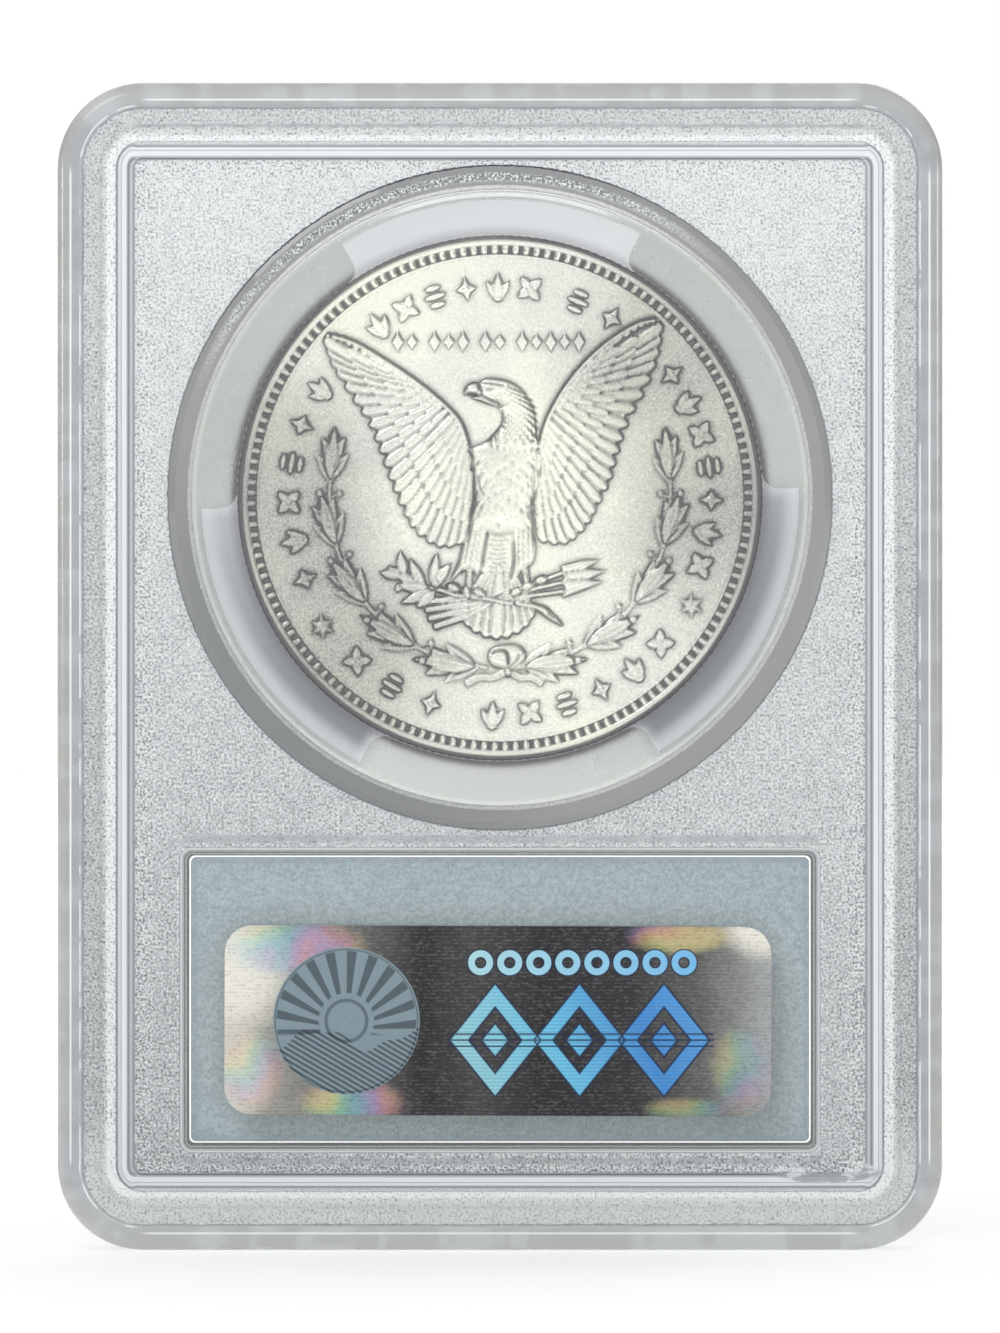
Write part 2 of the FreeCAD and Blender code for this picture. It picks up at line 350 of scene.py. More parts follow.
def rim_tint(s, zones):
    """The rounded rim: milky, worn in patches, warm on its outer strip as a painted reflection, and whitest
    at the top and the bottom with painted light.
    """
    wear = (s.noise(1.8, 4.0, 0.7) - 0.5) * 0.8 + (s.noise(0.5, 2.0, 0.7, (1, 1, 0.15)) - 0.5) * 0.3
    # a painted reflection: warm on the outer strip, cooler further in
    tint = s.blend((zones.inset + zones.drift * 2.0).step(0.7, 0.7), grey(242, 0.05), grey(238, -0.03))
    tint = s.blend((wear + 0.08).min(1.0).max(0.0), tint, grey(196, -0.02))
    # painted light: whitest at the bottom and the top
    ends = s.z.fall(4.5, 5.0) * 0.9 + s.z.step(SLAB_HEIGHT - 3.0, 3.0) * 0.6
    return s.blend(ends, tint, grey(254, 0.01))


def lens_tint(s, zones):
    """The polished lens: clear over the coin, with painted shade over the ring round it, deepest in the
    lower windows, and a painted shadow along the coin's edge.
    """
    around_coin = zones.radius.band(COIN_RADIUS - 0.1, POCKET_LINE - 0.5, 0.3) * zones.face
    in_window = ((zones.turn - WINDOW_ANGLE) * 3.0).math("COSINE").step(0.0, 0.3)
    # painted shade over the ring round the coin, varied at random and heavier in the lower windows
    ring_shade = around_coin * (0.7 + zones.lower * (in_window * 0.5 - 0.12) + (zones.clouds - 0.5) * 0.5)
    lower_window_shade = zones.lower * in_window * zones.radius.fall(20.7, 1.4)
    clear = s.blend(ring_shade.min(1.0), CLEAR_TINT, s.blend(lower_window_shade, RING_SHADE_TINT, DEEP_RING_SHADE_TINT))
    # painted shadow along the coin's edge, heavier low down
    shadow = zones.radius.step(COIN_RADIUS - 0.1, 0.1) * zones.radius.fall(COIN_RADIUS + 0.45, 0.9)
    return s.blend(shadow * zones.face * (0.45 + zones.lower * 0.35), clear, (0.16, 0.16, 0.18))


def bright_lines(zones, bright_inset, weld_inset):
    """The lines where edges catch the light: the steps, the weld, the coin pocket and the label window."""
    inset, place, radius = zones.inset, zones.line_place, zones.radius
    bright = place.band(bright_inset - 0.06, bright_inset + 0.06, 0.05) * zones.straight
    seam = (inset + zones.wander * 0.4).band(weld_inset - 0.14, weld_inset - 0.04, 0.05)
    bright = bright + seam * (zones.weld_break * 0.7 + 0.1) * (1.0 - zones.ends)
    bright = bright + (place + zones.drift * 0.2).band(4.42, 4.62, 0.06) * 0.65
    bright = bright + place.band(4.68, 5.02, 0.06) * 0.72 + inset.band(5.3, 5.46, 0.06) * 0.3
    bright = bright + (place + zones.rough_edge * 0.4).band(3.6, 4.24, 0.2) * (zones.grain - 0.1)
    sparkle = (radius + zones.rough_edge * 0.4).band(POCKET_LINE - 0.17, POCKET_LINE + 0.08, 0.06)
    bright = bright + sparkle * (zones.grain - 0.15 + zones.upper_left * 0.2) * 0.8
    top_arc = ((zones.turn - math.pi / 2).math("COSINE")).step(0.93, 0.06)
    bright = bright + radius.band(21.75, 22.05, 0.1) * top_arc * 0.8
    window_lines = zones.window.band(-0.04, 0.08, 0.05) * 0.3 + zones.window.band(0.32, 0.42, 0.05) * 0.4
    return (bright + window_lines).min(1.0).max(0.0) * zones.face


def dark_lines(s, zones, weld_inset):
    """The dark lines: one beside the weld and a speckled one inside the rim, and painted shade under the
    steps and at the lens's foot, heavier at the upper left.
    """
    inset, place, wander = zones.inset, zones.line_place, zones.wander
    dark = (inset + wander).band(weld_inset + 0.06, weld_inset + 0.22, 0.08) * 0.5
    # a speckled dark line inside the rim, stronger at the top ends
    rim_speckle_line = (inset + wander * 1.3).band(3.05, 3.3, 0.2) * zones.grain.step(0.5, 0.12)
    dark = dark + rim_speckle_line * (0.25 + s.z.step(60.0, 20.0) * zones.ends * 0.35)
    # painted shade under the steps
    dark = dark + place.band(STEP_TOP_INSET - 0.04, STEP_TOP_INSET + 0.05, 0.05) * 0.55
    dark = dark + place.band(5.12, 5.24, 0.06) * 0.75 + inset.band(5.5, 5.58, 0.05) * 0.45
    # painted shade at the lens's foot
    foot = zones.radius + zones.rough_edge * 0.7
    foot = foot.band(LENS_FOOT_RADIUS - 0.06, LENS_FOOT_RADIUS + 0.08, 0.06)
    return dark + foot * (0.6 + zones.upper_left * 0.4)


def window_rows_and_shade(s, zones):
    """The rough rows just outside the label window, and a line of painted shade just inside it."""
    rows = (zones.window + zones.wander).band(-0.95, -0.45, 0.2) * zones.grain.step(0.52, 0.12) * 0.45
    rows = rows * s.x.abs().fall(LABEL_WINDOW[0] / 2, 0.6)
    # painted shade just inside the window
    return rows + zones.window.band(0.14, 0.24, 0.06) * 0.15


def melt_mark(s, zones):
    """A small smear of melted plastic low on the back's right, and the swirls in it."""
    across = (s.x + zones.wander * 3.0 - MELT_CENTRE[0]) * (1 / MELT_HALF[0])
    upward = (s.z + zones.wander - MELT_CENTRE[1]) * (1 / MELT_HALF[1])
    melt = (across * across + upward * upward).fall(0.8, 0.4) * s.y.fall(0.0, 0.1) * zones.face
    return melt, s.noise(1.1, 3.0, 0.6, (0.6, 1.0, 1.6))


def shell_plastic(name, line_insets):
    """Clear polystyrene: polished, milky and frosted zones, and the lines its steps and weld show."""
    s = Surface(name)
    bright_inset, weld_inset, rim_inset = line_insets
    zones = ShellZones(s, rim_inset)
    colour = s.blend(zones.rim, lens_tint(s, zones), rim_tint(s, zones))
    colour = s.blend(zones.ledge, colour, grey(214, -0.05))
    # the lens bevel, with painted shade at its lower left
    bevel_tint_and_shade = s.blend(zones.lower_left, grey(184, 0.01), grey(160, -0.01))
    colour = s.blend(zones.bevel, colour, bevel_tint_and_shade)
    colour = s.blend(zones.window_edge, colour, grey(214, -0.02))
    colour = s.blend(zones.frost, colour, frosted_tint(s, zones))

    melt, swirl = melt_mark(s, zones)
    bright = bright_lines(zones, bright_inset, weld_inset)
    bright = (bright * (1.0 - melt) + melt * swirl.step(0.55, 0.14) * 0.5).min(1.0)
    dark = dark_lines(s, zones, weld_inset) * (1.0 - melt) + melt * swirl.band(0.44, 0.49, 0.06) * 0.45
    dark = (dark + window_rows_and_shade(s, zones)) * zones.face
    side_seam = (s.y + zones.wander * 0.5).abs().band(-0.1, 0.11, 0.06) * zones.rim
    dark = (dark + side_seam * (0.35 + zones.weld_break * 0.3)).min(1.0)
    # dark lines: the weld and seams, with painted shade at the steps, the lens's foot and the label window
    colour = s.blend(dark, colour, (0.085, 0.085, 0.115))
    # painted highlights where edges catch the light, and the pale swirls of the melt mark
    s.paint(s.blend(bright, colour, grey(254)))

    milk = zones.frost * 0.72 + zones.rim * 0.5 + zones.ledge * 0.6 + zones.bevel * 0.62
    milk = milk + bright * 0.8 + dark * 0.85 + zones.window_edge * 0.6
    s.drive("Transmission Weight", 0.98 - milk.min(1.0) * 0.85)
    smears = s.noise(3.0, 4.0, 0.7).step(0.62, 0.3) * 0.03
    s.drive("Roughness", zones.frost * 0.36 + zones.rim * 0.1 + 0.03 + smears)
    s.set(IOR=1.5)
    s.bump((zones.grain * 0.7 + zones.coarse) * zones.frost + s.noise(9.0, 1.0) * 0.03, 0.14)
    s.let_lamps_through((0.93, 0.94, 0.95))
    return s.material


def milky_insert(name):
    """The insert ring: a warm translucent plastic, slightly mottled, lighter at its bottom, with a painted
    shadow next to the coin.
    """
    s = Surface(name)
    radius = distance_from_lens_centre(s)
    mottling = s.noise(3.5, 3.0, 0.6)
    speck = s.noise(0.5, 3.0, 0.7)
    coin_edge_shadow = radius.fall(COIN_RADIUS + 0.35, 0.5)
    light = (mottling - 0.5) * 0.5 + (speck - 0.5) * 0.15 + 0.5 + s.z.fall(36.0, 4.0) * 0.5
    colour = s.blend(light, (0.72, 0.74, 0.69), (0.95, 0.96, 0.91))
    # painted shadow next to the coin
    s.paint(s.blend(coin_edge_shadow * 0.75, colour, (0.10, 0.09, 0.11)))
    s.drive("Roughness", mottling * 0.2 + 0.16)
    s.set(IOR=1.49)
    s.drive("Transmission Weight", 0.62 - coin_edge_shadow * 0.4)
    s.bump(speck * 0.3 + mottling, 0.01)
    s.let_lamps_through((0.85, 0.86, 0.84))
    return s.material


def label_paper(name):
    """Coated card, blue-grey with fibres; the side toward the front carries a printed pattern."""
    s = Surface(name)
    fibres = s.noise(0.5, 3.0, 0.7, stretch=(1.0, 1.0, 1.6))
    flakes = s.noise(0.22, 2.0, 0.8)
    clouds = s.noise(7.0, 2.0)
    up = s.z - LABEL_CENTRE_Z
    light = (fibres - 0.5) * 2.2 + (flakes - 0.5) * 3.4 + (clouds - 0.5) * 0.5 + 0.5
    paper = s.blend(light, (0.27, 0.365, 0.395), (0.47, 0.575, 0.60))
    border = rounded_rectangle_inset(s, *LABEL_CARD, LABEL_CENTRE_Z)
    paper = s.blend(border.fall(0.45, 0.2) * 0.35, paper, (0.24, 0.35, 0.45))

    wave = (s.x * 0.9).math("SINE") * 0.9
    scroll = ((up - 6.2 - wave) * 5.0).math("SINE").abs()
    scroll = scroll * ((up - 6.2 + wave) * 5.0).math("SINE").abs()
    guilloche = scroll.fall(0.12, 0.1) * up.band(4.6, 7.8, 0.1)
    header = up.band(4.0, 8.4, 0.06)
    rules = up.band(3.5, 3.7, 0.05) + up.band(-7.9, -7.7, 0.05)
    fields = (border.band(3.2, 3.35, 0.04)) * up.band(-7.2, 3.0, 0.05)
    printed = s.blend(header, (0.80, 0.84, 0.86), (0.10, 0.24, 0.45))
    printed = s.blend(guilloche * 0.8, printed, (0.62, 0.76, 0.86))
    printed = s.blend((rules + fields).min(1.0), printed, (0.12, 0.26, 0.46))
    printed = s.blend(border.fall(0.9, 0.06), printed, (0.12, 0.26, 0.46))
    s.paint(s.blend(s.y.step(0.0, 0.1), paper, printed))
    s.drive("Roughness", fibres * 0.2 + 0.5)
    s.bump(fibres + flakes * 0.6, 0.02)
    return s.material


def foil_sheen(s, x, up, wobble):
    """The foil's colour with its reflections painted in: dark in the middle, pale at its ends, with painted
    rainbow reflections in patches.
    """

    def blob(centre_x, centre_up, reach_x, reach_up):
        across = (x + wobble * 0.35 - centre_x) * (1 / reach_x)
        upward = (up + wobble * 0.15 - centre_up) * (1 / reach_up)
        return (across * across + upward * upward).fall(0.55, 0.95)

    base = s.ramp((x + wobble) * (1 / STICKER_WIDTH) + 0.5, FOIL_SHADES)
    # painted reflections, pale at the foil's ends
    pale_end_reflections = blob(-20, 3.5, 6.0, 5.5) + blob(19.5, 7.0, 4.0, 3.0) + blob(-19, -4, 3.0, 4.0) * 0.6
    base = s.blend(pale_end_reflections.min(1.0), base, (0.80, 0.78, 0.70))
    # painted rainbow reflections in patches
    hue = (s.noise(5.0, 1.0) * 1.6 + x * 0.085 - up * 0.11).math("FRACT")
    strong = blob(-14.5, 5.2, 5.5, 2.4) + blob(-10.5, -5.9, 4.4, 1.9) + blob(13.2, 6.1, 4.4, 1.5)
    weak = blob(-17.8, -3.6, 2.8, 3.2) + blob(17.6, -3.4, 2.6, 3.4) + blob(13.5, -6.4, 3.4, 1.0)
    return s.blend((strong * 0.6 + weak * 0.35).min(1.0), base, s.ramp(hue, RAINBOW))


def vignette(x, up):
    """A round picture of a sun over hills: its disc, and the ink in it."""
    ring = (up * up + (x - VIGNETTE_X) * (x - VIGNETTE_X)).math("SQRT")
    disc = ring.fall(VIGNETTE_RADIUS, 0.08)
    turn = (up + 0.6).math("ARCTAN2", x - VIGNETTE_X)
    rays = (turn * 22.0).math("SINE").step(0.15, 0.3) * ring.band(2.0, VIGNETTE_RADIUS - 0.25, 0.1)
    rays = rays * up.step(-1.0, 0.3)
    hills = (x * 0.85).math("SINE") * 0.7 + (x * 2.1).math("SINE") * 0.25 - 1.3
    land = (hills - up).step(0.0, 0.12)
    hatch = ((up * 1.7 + x) * 9.0).math("SINE").step(0.0, 0.8) * land * 0.8
    sun = ring.band(1.35, 1.6, 0.08) + ring.band(VIGNETTE_RADIUS - 0.2, VIGNETTE_RADIUS - 0.1, 0.05)
    return disc, (rays * 0.75 + hatch + sun * 0.6).min(1.0) * disc


def lozenges(x, up):
    """The three nested lozenges: their fills and their outlines."""
    fills = []
    outlines = []
    for centre in ORNAMENT_CENTRES:
        away = (x - centre).abs() * (1 / ORNAMENT_HALF[0])
        away = away + (up - ORNAMENT_UP).abs() * (1 / ORNAMENT_HALF[1])
        fills.append(away.band(0.58, 1.0, 0.02) + away.fall(0.3, 0.02))
        edges = away.band(0.97, 1.03, 0.02) + away.band(0.55, 0.61, 0.02)
        outlines.append(edges + away.band(0.27, 0.33, 0.02))
    return functools.reduce(Field.max, fills), functools.reduce(Field.max, outlines)


def foil(name):
    """A silver diffraction foil: a brushed sheen, a round vignette, three lozenges and a row of rings."""
    s = Surface(name)
    x = s.x - STICKER_CENTRE_X
    up = s.z - STICKER_CENTRE_Z
    wobble = (s.noise(2.4, 3.0, 0.6) - 0.5) * 2.4
    lines = (s.z * (2 * math.pi / FOIL_ROW)).math("SINE") * 0.5 + 0.5
    weave = s.noise(0.22, 2.0, 0.7, stretch=(0.7, 1.0, 1.4))
    streaks = s.noise(1.4, 3.0, 0.6, stretch=(0.8, 1.0, 5.0))
    shade = (weave - 0.5) * 1.5 + (lines - 0.5) * 0.2 + (streaks - 0.5) * 0.3 + 0.5
    colour = foil_sheen(s, x, up, wobble)
    colour = s.blend(shade.step(0.66, 0.4) * 0.12, colour, (0.60, 0.61, 0.61))
    colour = s.blend(shade.fall(0.34, 0.4) * 0.3, colour, (0.02, 0.02, 0.024))

    disc, ink = vignette(x, up)
    colour = s.blend(disc, colour, s.blend(weave, (0.20, 0.28, 0.32), (0.30, 0.38, 0.42)))
    colour = s.blend(ink, colour, (0.055, 0.075, 0.09))

    cell = ((x - ROW_START) * (1 / ROW_PITCH)).math("FRACT") - 0.5
    bead = (cell * cell * ROW_PITCH ** 2 + (up - ROW_UP) * (up - ROW_UP)).math("SQRT")
    in_row = x.band(ROW_START, ROW_START + ROW_PITCH * ROW_COUNT, 0.02)
    bead_edge = (bead.band(0.9, 1.0, 0.04) + bead.band(0.32, 0.42, 0.04)) * in_row
    stripes = up - ORNAMENT_UP
    cuts = stripes.band(-0.5, -0.38, 0.04) + stripes.band(-0.06, 0.06, 0.04) + stripes.band(0.38, 0.5, 0.04)
    cuts = cuts * x.band(ORNAMENT_CENTRES[0] - 3.4, ORNAMENT_CENTRES[-1] + 3.6, 0.05)
    along = (x + wobble * 0.5 - ORNAMENT_CENTRES[0] + 3.0) * (1 / 19.0)
    fill, outline = lozenges(x, up)
    cyan = s.ramp(along + up * 0.02, CYANS)
    colour = s.blend(fill.min(1.0) * (0.75 + lines * 0.25), colour, cyan)
    pale_cyan = s.blend(along, (0.40, 0.66, 0.70), (0.16, 0.46, 0.78))
    colour = s.blend(bead.band(0.4, 0.92, 0.04) * in_row, colour, pale_cyan)
    s.paint(s.blend((outline + bead_edge + cuts).min(1.0) * 0.85, colour, (0.012, 0.02, 0.06)))
    s.set(Metallic=0.55)
    s.drive("Roughness", weave * 0.2 + disc * 0.25 + 0.28)
    s.bump(weave + lines * 0.4, 0.012)
    return s.material


def dress(node, material):
    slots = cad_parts[node].data.materials
    slots.clear()
    slots.append(material)


# ---------------------------------------------------------------- the coin's struck design, in mm
RELIEF_STEP = 0.07          # between the heights of a struck design
METAL_FLOW = 0.035          # how far every struck edge is rounded
FIELD_RADIUS = 17.3         # inside the ring of dentils
FIELD_DROP = 0.34           # the coin's field below its rim


def through(p, places):
    """Points on the smooth curve through p, less its two end points, at places counted in its spans."""
    result = []
    for u in places:
        i = int(u)
        t = u - i
        a, b, c, d = p[i:i + 4]
        result.append(0.5 * (2 * b + (c - a) * t + (2 * a - 5 * b + 4 * c - d) * t ** 2
                             + (3 * b - a - 3 * c + d) * t ** 3))
    return np.array(result)


def smooth_curve(points, count):
    """count points on a smooth curve that passes through a few given ones."""
    p = np.array(points, float)
    p = np.vstack([2 * p[0] - p[1], p, 2 * p[-1] - p[-2]])
    return through(p, np.linspace(0, len(points) - 1 - 1e-9, count))


def closed_outline(points, count=96):
    """A smooth closed outline through a few given points."""
    p = np.array([points[-1], *points, *points[:2]], float)
    return through(p, np.linspace(0, len(points), count, endpoint=False))


class Relief:
    """A field of heights above the coin's face, struck with one stamp over another."""

    def __init__(self, radius, step):
        self.step = step
        self.reach = math.ceil(radius / step - 1e-6) * step
        count = 2 * round(self.reach / step) + 1
        self.line = np.linspace(-self.reach, self.reach, count)
        self.height = np.zeros((count, count))

    def window(self, points, margin):
        """The part of the field around some points: its slices and its coordinates."""
        low = np.array(points).min(0) - margin
        high = np.array(points).max(0) + margin
        ranges = []
        for axis in (0, 1):
            first = max(0, int((low[axis] + self.reach) / self.step))
            last = min(len(self.line), int((high[axis] + self.reach) / self.step) + 2)
            ranges.append(slice(first, last))
        x, z = np.meshgrid(self.line[ranges[0]], self.line[ranges[1]])
        return (ranges[1], ranges[0]), x, z

    def along(self, curve, margin):
        """For the points near a curve: where they lie along it, 0 to 1, and how far to its side."""
        part, x, z = self.window(curve, margin)
        starts = curve[:-1]
        steps = np.diff(curve, axis=0)
        lengths = np.hypot(*steps.T)
        before = np.concatenate([[0.0], np.cumsum(lengths)])
        best = np.full(x.shape, np.inf)
        place = np.zeros(x.shape)
        side = np.zeros(x.shape)
        for index, (start, step, length) in enumerate(zip(starts, steps, lengths)):
            rel_x = x - start[0]
            rel_z = z - start[1]
            raw = (rel_x * step[0] + rel_z * step[1]) / length ** 2
            t = np.clip(raw, 0, 1)
            gap = np.hypot(rel_x - t * step[0], rel_z - t * step[1])
            near = gap < best
            across = (step[0] * rel_z - step[1] * rel_x) / length
            best = np.where(near, gap, best)
            loose = raw if index in (0, len(starts) - 1) else t
            place = np.where(near, (before[index] + loose * length) / before[-1], place)
            side = np.where(near, across, side)
        return part, place, side

    def put(self, part, inside, height):
        self.height[part] = np.where(inside, height, self.height[part])

    def blade(self, root, tip, width, bend=0.0, base=0.1, lift=0.1, crown=0.1, shape="feather",
              rib=0.05, barbs=0.0, slant=0.0):
        """A feather or leaf from root to tip, curved sideways by bend, with a rib and fine barbs."""
        root = np.array(root, float)
        tip = np.array(tip, float)
        run = tip - root
        middle = (root + tip) / 2 + bend * np.array([-run[1], run[0]])
        t = np.linspace(0, 1, 10)[:, None]
        curve = (1 - t) ** 2 * root + 2 * t * (1 - t) * middle + t ** 2 * tip
        part, place, side = self.along(curve, width * 0.8)
        p = np.clip(place, 0, 1)
        if shape == "feather":
            half = width / 2 * np.minimum(0.55 + 1.5 * p, 1.0)
            blunt = 0.8 * width / max(np.hypot(*run), 1e-6)
            half = half * np.sqrt(np.clip(1 - ((p - 1 + blunt) / blunt).clip(0) ** 2, 0, 1))
        else:
            half = width / 2 * np.sin(np.pi * p ** 0.85) ** 0.9
        s = side / np.maximum(half, 1e-6)
        inside = (np.abs(s) < 1) & (place >= 0) & (place <= 1)
        height = base + lift * p + crown * (1 - s ** 2)
        height = height - rib * np.exp(-(side / 0.07) ** 2)
        if barbs:
            height = height + barbs * np.sin((place * np.hypot(*run) + slant * np.abs(side)) * 22.0)
        self.put(part, inside, height)

    def pillow(self, outline, height, edge, base=0.0, merge=False):
        """A rounded mass inside an outline, rising over the width edge to its full height.

        It covers what it lies on, or with merge it grows out of it.
        """
        outline = np.array(outline)
        part, x, z = self.window(outline, 0.1)
        depth = np.full(x.shape, np.inf)
        inside = np.zeros(x.shape, bool)
        for a, b in zip(outline, np.roll(outline, -1, axis=0)):
            run = b - a
            length = max(run @ run, 1e-12)
            t = np.clip(((x - a[0]) * run[0] + (z - a[1]) * run[1]) / length, 0, 1)
            depth = np.minimum(depth, np.hypot(x - a[0] - t * run[0], z - a[1] - t * run[1]))
            crosses = (a[1] > z) != (b[1] > z)
            at = a[0] + (z - a[1]) * run[0] / (run[1] if run[1] else 1e-12)
            inside ^= crosses & (x < at)
        rise = np.clip(depth / edge, 0, 1)
        rounded = base + height * np.sqrt(1 - (1 - rise) ** 2)
        if merge:
            rounded = np.maximum(rounded, self.height[part])
        self.put(part, inside, rounded)

    def plateau(self, outline, height, edge=0.09):
        """A flat-topped ornament with steep sides, as struck lettering has."""
        self.pillow(outline, height, edge)

    def rod(self, points, width, height, base=0.0, count=16):
        """A round bar along a smooth curve."""
        curve = smooth_curve(points, count)
        part, place, side = self.along(curve, width)
        s = side / (width / 2)
        end = np.clip(np.maximum(-place, place - 1), 0, None)
        inside = (np.abs(s) < 1) & (end <= 0)
        self.put(part, inside, base + height * np.sqrt(np.clip(1 - s ** 2, 0, 1)))

    def groove(self, points, width, depth, count=16):
        """A fine line cut into what is already there."""
        curve = smooth_curve(points, count)
        part, place, side = self.along(curve, width * 2)
        ends = np.clip(np.minimum(place, 1 - place) * 8, 0, 1)
        self.height[part] -= depth * ends * np.exp(-(side / (width / 2)) ** 2)

    def knob(self, centre, radius, height, base=0.0):
        """A berry, bead or eye."""
        part, x, z = self.window([centre], radius)
        r = np.hypot(x - centre[0], z - centre[1]) / radius
        self.put(part, r < 1, base + height * np.sqrt(np.clip(1 - r ** 2, 0, 1)))

    def soften(self, sigma):
        """Rounds every edge a little, as metal flow does."""
        reach = max(1, math.ceil(2.5 * sigma / self.step))
        offsets = np.arange(-reach, reach + 1) * self.step
        kernel = np.exp(-(offsets / sigma) ** 2 / 2)
        kernel /= kernel.sum()
        for axis in (0, 1):
            self.height = np.apply_along_axis(np.convolve, axis, self.height, kernel, mode="same")


def polar(radius, degrees):
    angle = math.radians(degrees)
    return np.array([radius * math.cos(angle), radius * math.sin(angle)])


def turned(points, degrees, centre):
    """Points turned anticlockwise about the origin, then moved to centre."""
    angle = math.radians(degrees)
    turn = np.array([[math.cos(angle), math.sin(angle)], [-math.sin(angle), math.cos(angle)]])
    return np.array(points, float) @ turn + np.array(centre)


def star(centre, outer, inner, points, degrees=90.0):
    corners = []
    for index in range(2 * points):
        radius = outer if index % 2 == 0 else inner
        corners.append(np.array(centre) + polar(radius, degrees + index * 180 / points))
    return np.array(corners)


def lozenge(width, height, waist=1.0):
    """A diamond; a waist under 1 pinches its sides in."""
    w = width / 2
    h = height / 2
    x = w * waist / 2
    z = h * waist / 2
    return [(0, h), (x, z), (w, 0), (x, -z), (0, -h), (-x, -z), (-w, 0), (-x, z)]


def legend_ornament(relief, radius, degrees, kind, outward=True):
    """One of the plain ornaments that run round the coin where a legend would be.

    kind is 0 for a pinched lozenge, 1 for a sprig, 2 for a flower and 3 for a stack of bars.
    """
    centre = polar(radius, degrees)
    lean = degrees - 90 if outward else degrees + 90

    def sprig(start, tip, width):
        root, end = turned([start, tip], lean, centre)
        relief.blade(root, end, width, 0.0, 0.07, 0.03, 0.07, "leaf", 0.03)

    if kind == 0:
        relief.plateau(turned(lozenge(1.7, 2.1, 0.62), lean, centre), 0.15)
        relief.knob(centre, 0.24, 0.08, 0.14)
    elif kind == 1:
        for spread in (-0.85, 0.85):
            sprig((0.0, -0.95), (spread, 0.45), 0.62)
        sprig((0.0, -0.95), (0.0, 1.05), 0.72)
        relief.plateau(turned(lozenge(1.0, 0.5), lean, centre + polar(0.9, lean - 90)), 0.15)
    elif kind == 2:
        for petal in range(4):
            sprig((0, 0), polar(1.1, 45 + 90 * petal), 0.72)
        relief.knob(centre, 0.27, 0.12, 0.06)
    else:
        for height in (-0.62, 0.0, 0.62):
            bar = lozenge(1.75 - abs(height) * 0.8, 0.5, 1.5)
            relief.plateau(turned(bar, lean, centre + polar(height, lean + 90)), 0.15)


def ornament_run(relief, start_deg, end_deg, count, first, radius=15.3, outward=True):
    for index, degrees in enumerate(np.linspace(start_deg, end_deg, count)):
        legend_ornament(relief, radius, degrees, (first + index) % 4, outward)


def laurel_cluster(relief, radius, degrees, direction, size=1.0):
    """Seven slender leaves on the wreath's stem. direction is +1 anticlockwise, -1 clockwise."""
    heading = degrees + 90 * direction
    root = polar(radius, degrees)
    leaves = ((31, 2.9, -0.12, 0.0), (-31, 2.9, 0.12, 0.2), (20, 3.0, -0.09, 1.1), (-20, 3.0, 0.09, 1.3),
              (-8, 3.1, 0.04, 0.6), (9, 3.2, -0.04, 0.3), (0, 4.1, 0.0, 0.8))
    for index, (spread, length, bend, up) in enumerate(leaves):
        start = root + polar(up * size, heading)
        tip = start + polar(length * size, heading + spread)
        relief.blade(start, tip, 0.95 * size, bend, 0.03 + 0.03 * index, 0.0, 0.09, "leaf", 0.07)


WREATH_RADIUS = 12.35


def wreath(relief):
    """Two laurel branches tied below with a bow."""
    for direction, start_deg in ((-1, 266.0), (1, 274.0)):
        stem = [polar(WREATH_RADIUS, start_deg + direction * a) for a in range(0, 106, 15)]
        relief.rod(stem, 0.34, 0.11, count=60)
        for index in range(5):
            degrees = start_deg + direction * (3 + 22.0 * index)
            laurel_cluster(relief, WREATH_RADIUS, degrees, direction, 1.0 - 0.04 * index)
            berry_deg = degrees + direction * 18.5
            for out in (-1, 1) if index < 4 else ():
                berry = polar(WREATH_RADIUS + 0.72 * out, berry_deg)
                twig = [polar(WREATH_RADIUS, berry_deg - direction * 1.5), berry]
                relief.rod(twig, 0.14, 0.07, count=6)
                relief.knob(berry, 0.27, 0.13)
    loop = [(-0.9, -11.5), (-0.6, -10.85), (0.3, -10.6), (1.3, -10.65), (1.86, -11.2), (1.7, -11.9),
            (0.9, -12.4), (0.3, -12.4), (-0.6, -12.15)]
    relief.pillow(closed_outline(loop), 0.22, 0.5)
    relief.groove([(-0.8, -11.4), (-0.2, -11.05), (0.5, -11.2), (0.62, -12.3)], 0.2, 0.16)
    relief.groove([(0.62, -12.3), (1.1, -11.9), (1.45, -11.2)], 0.16, 0.1)
    for side in (-1, 1):
        tail = [(0.55 + 0.2 * side, -12.6), (0.5 + 1.0 * side, -13.0), (0.4 + 1.9 * side, -13.0),
                (0.3 + 2.8 * side, -13.5)]
        relief.rod(tail, 0.6, 0.14, count=24)
        relief.groove(tail, 0.14, 0.08)
    relief.knob((0.6, -12.6), 0.36, 0.26)


def along_line(line, share):
    """The point of a line of points that lies this share of the way along it."""
    return line[int(share * (len(line) - 1))]


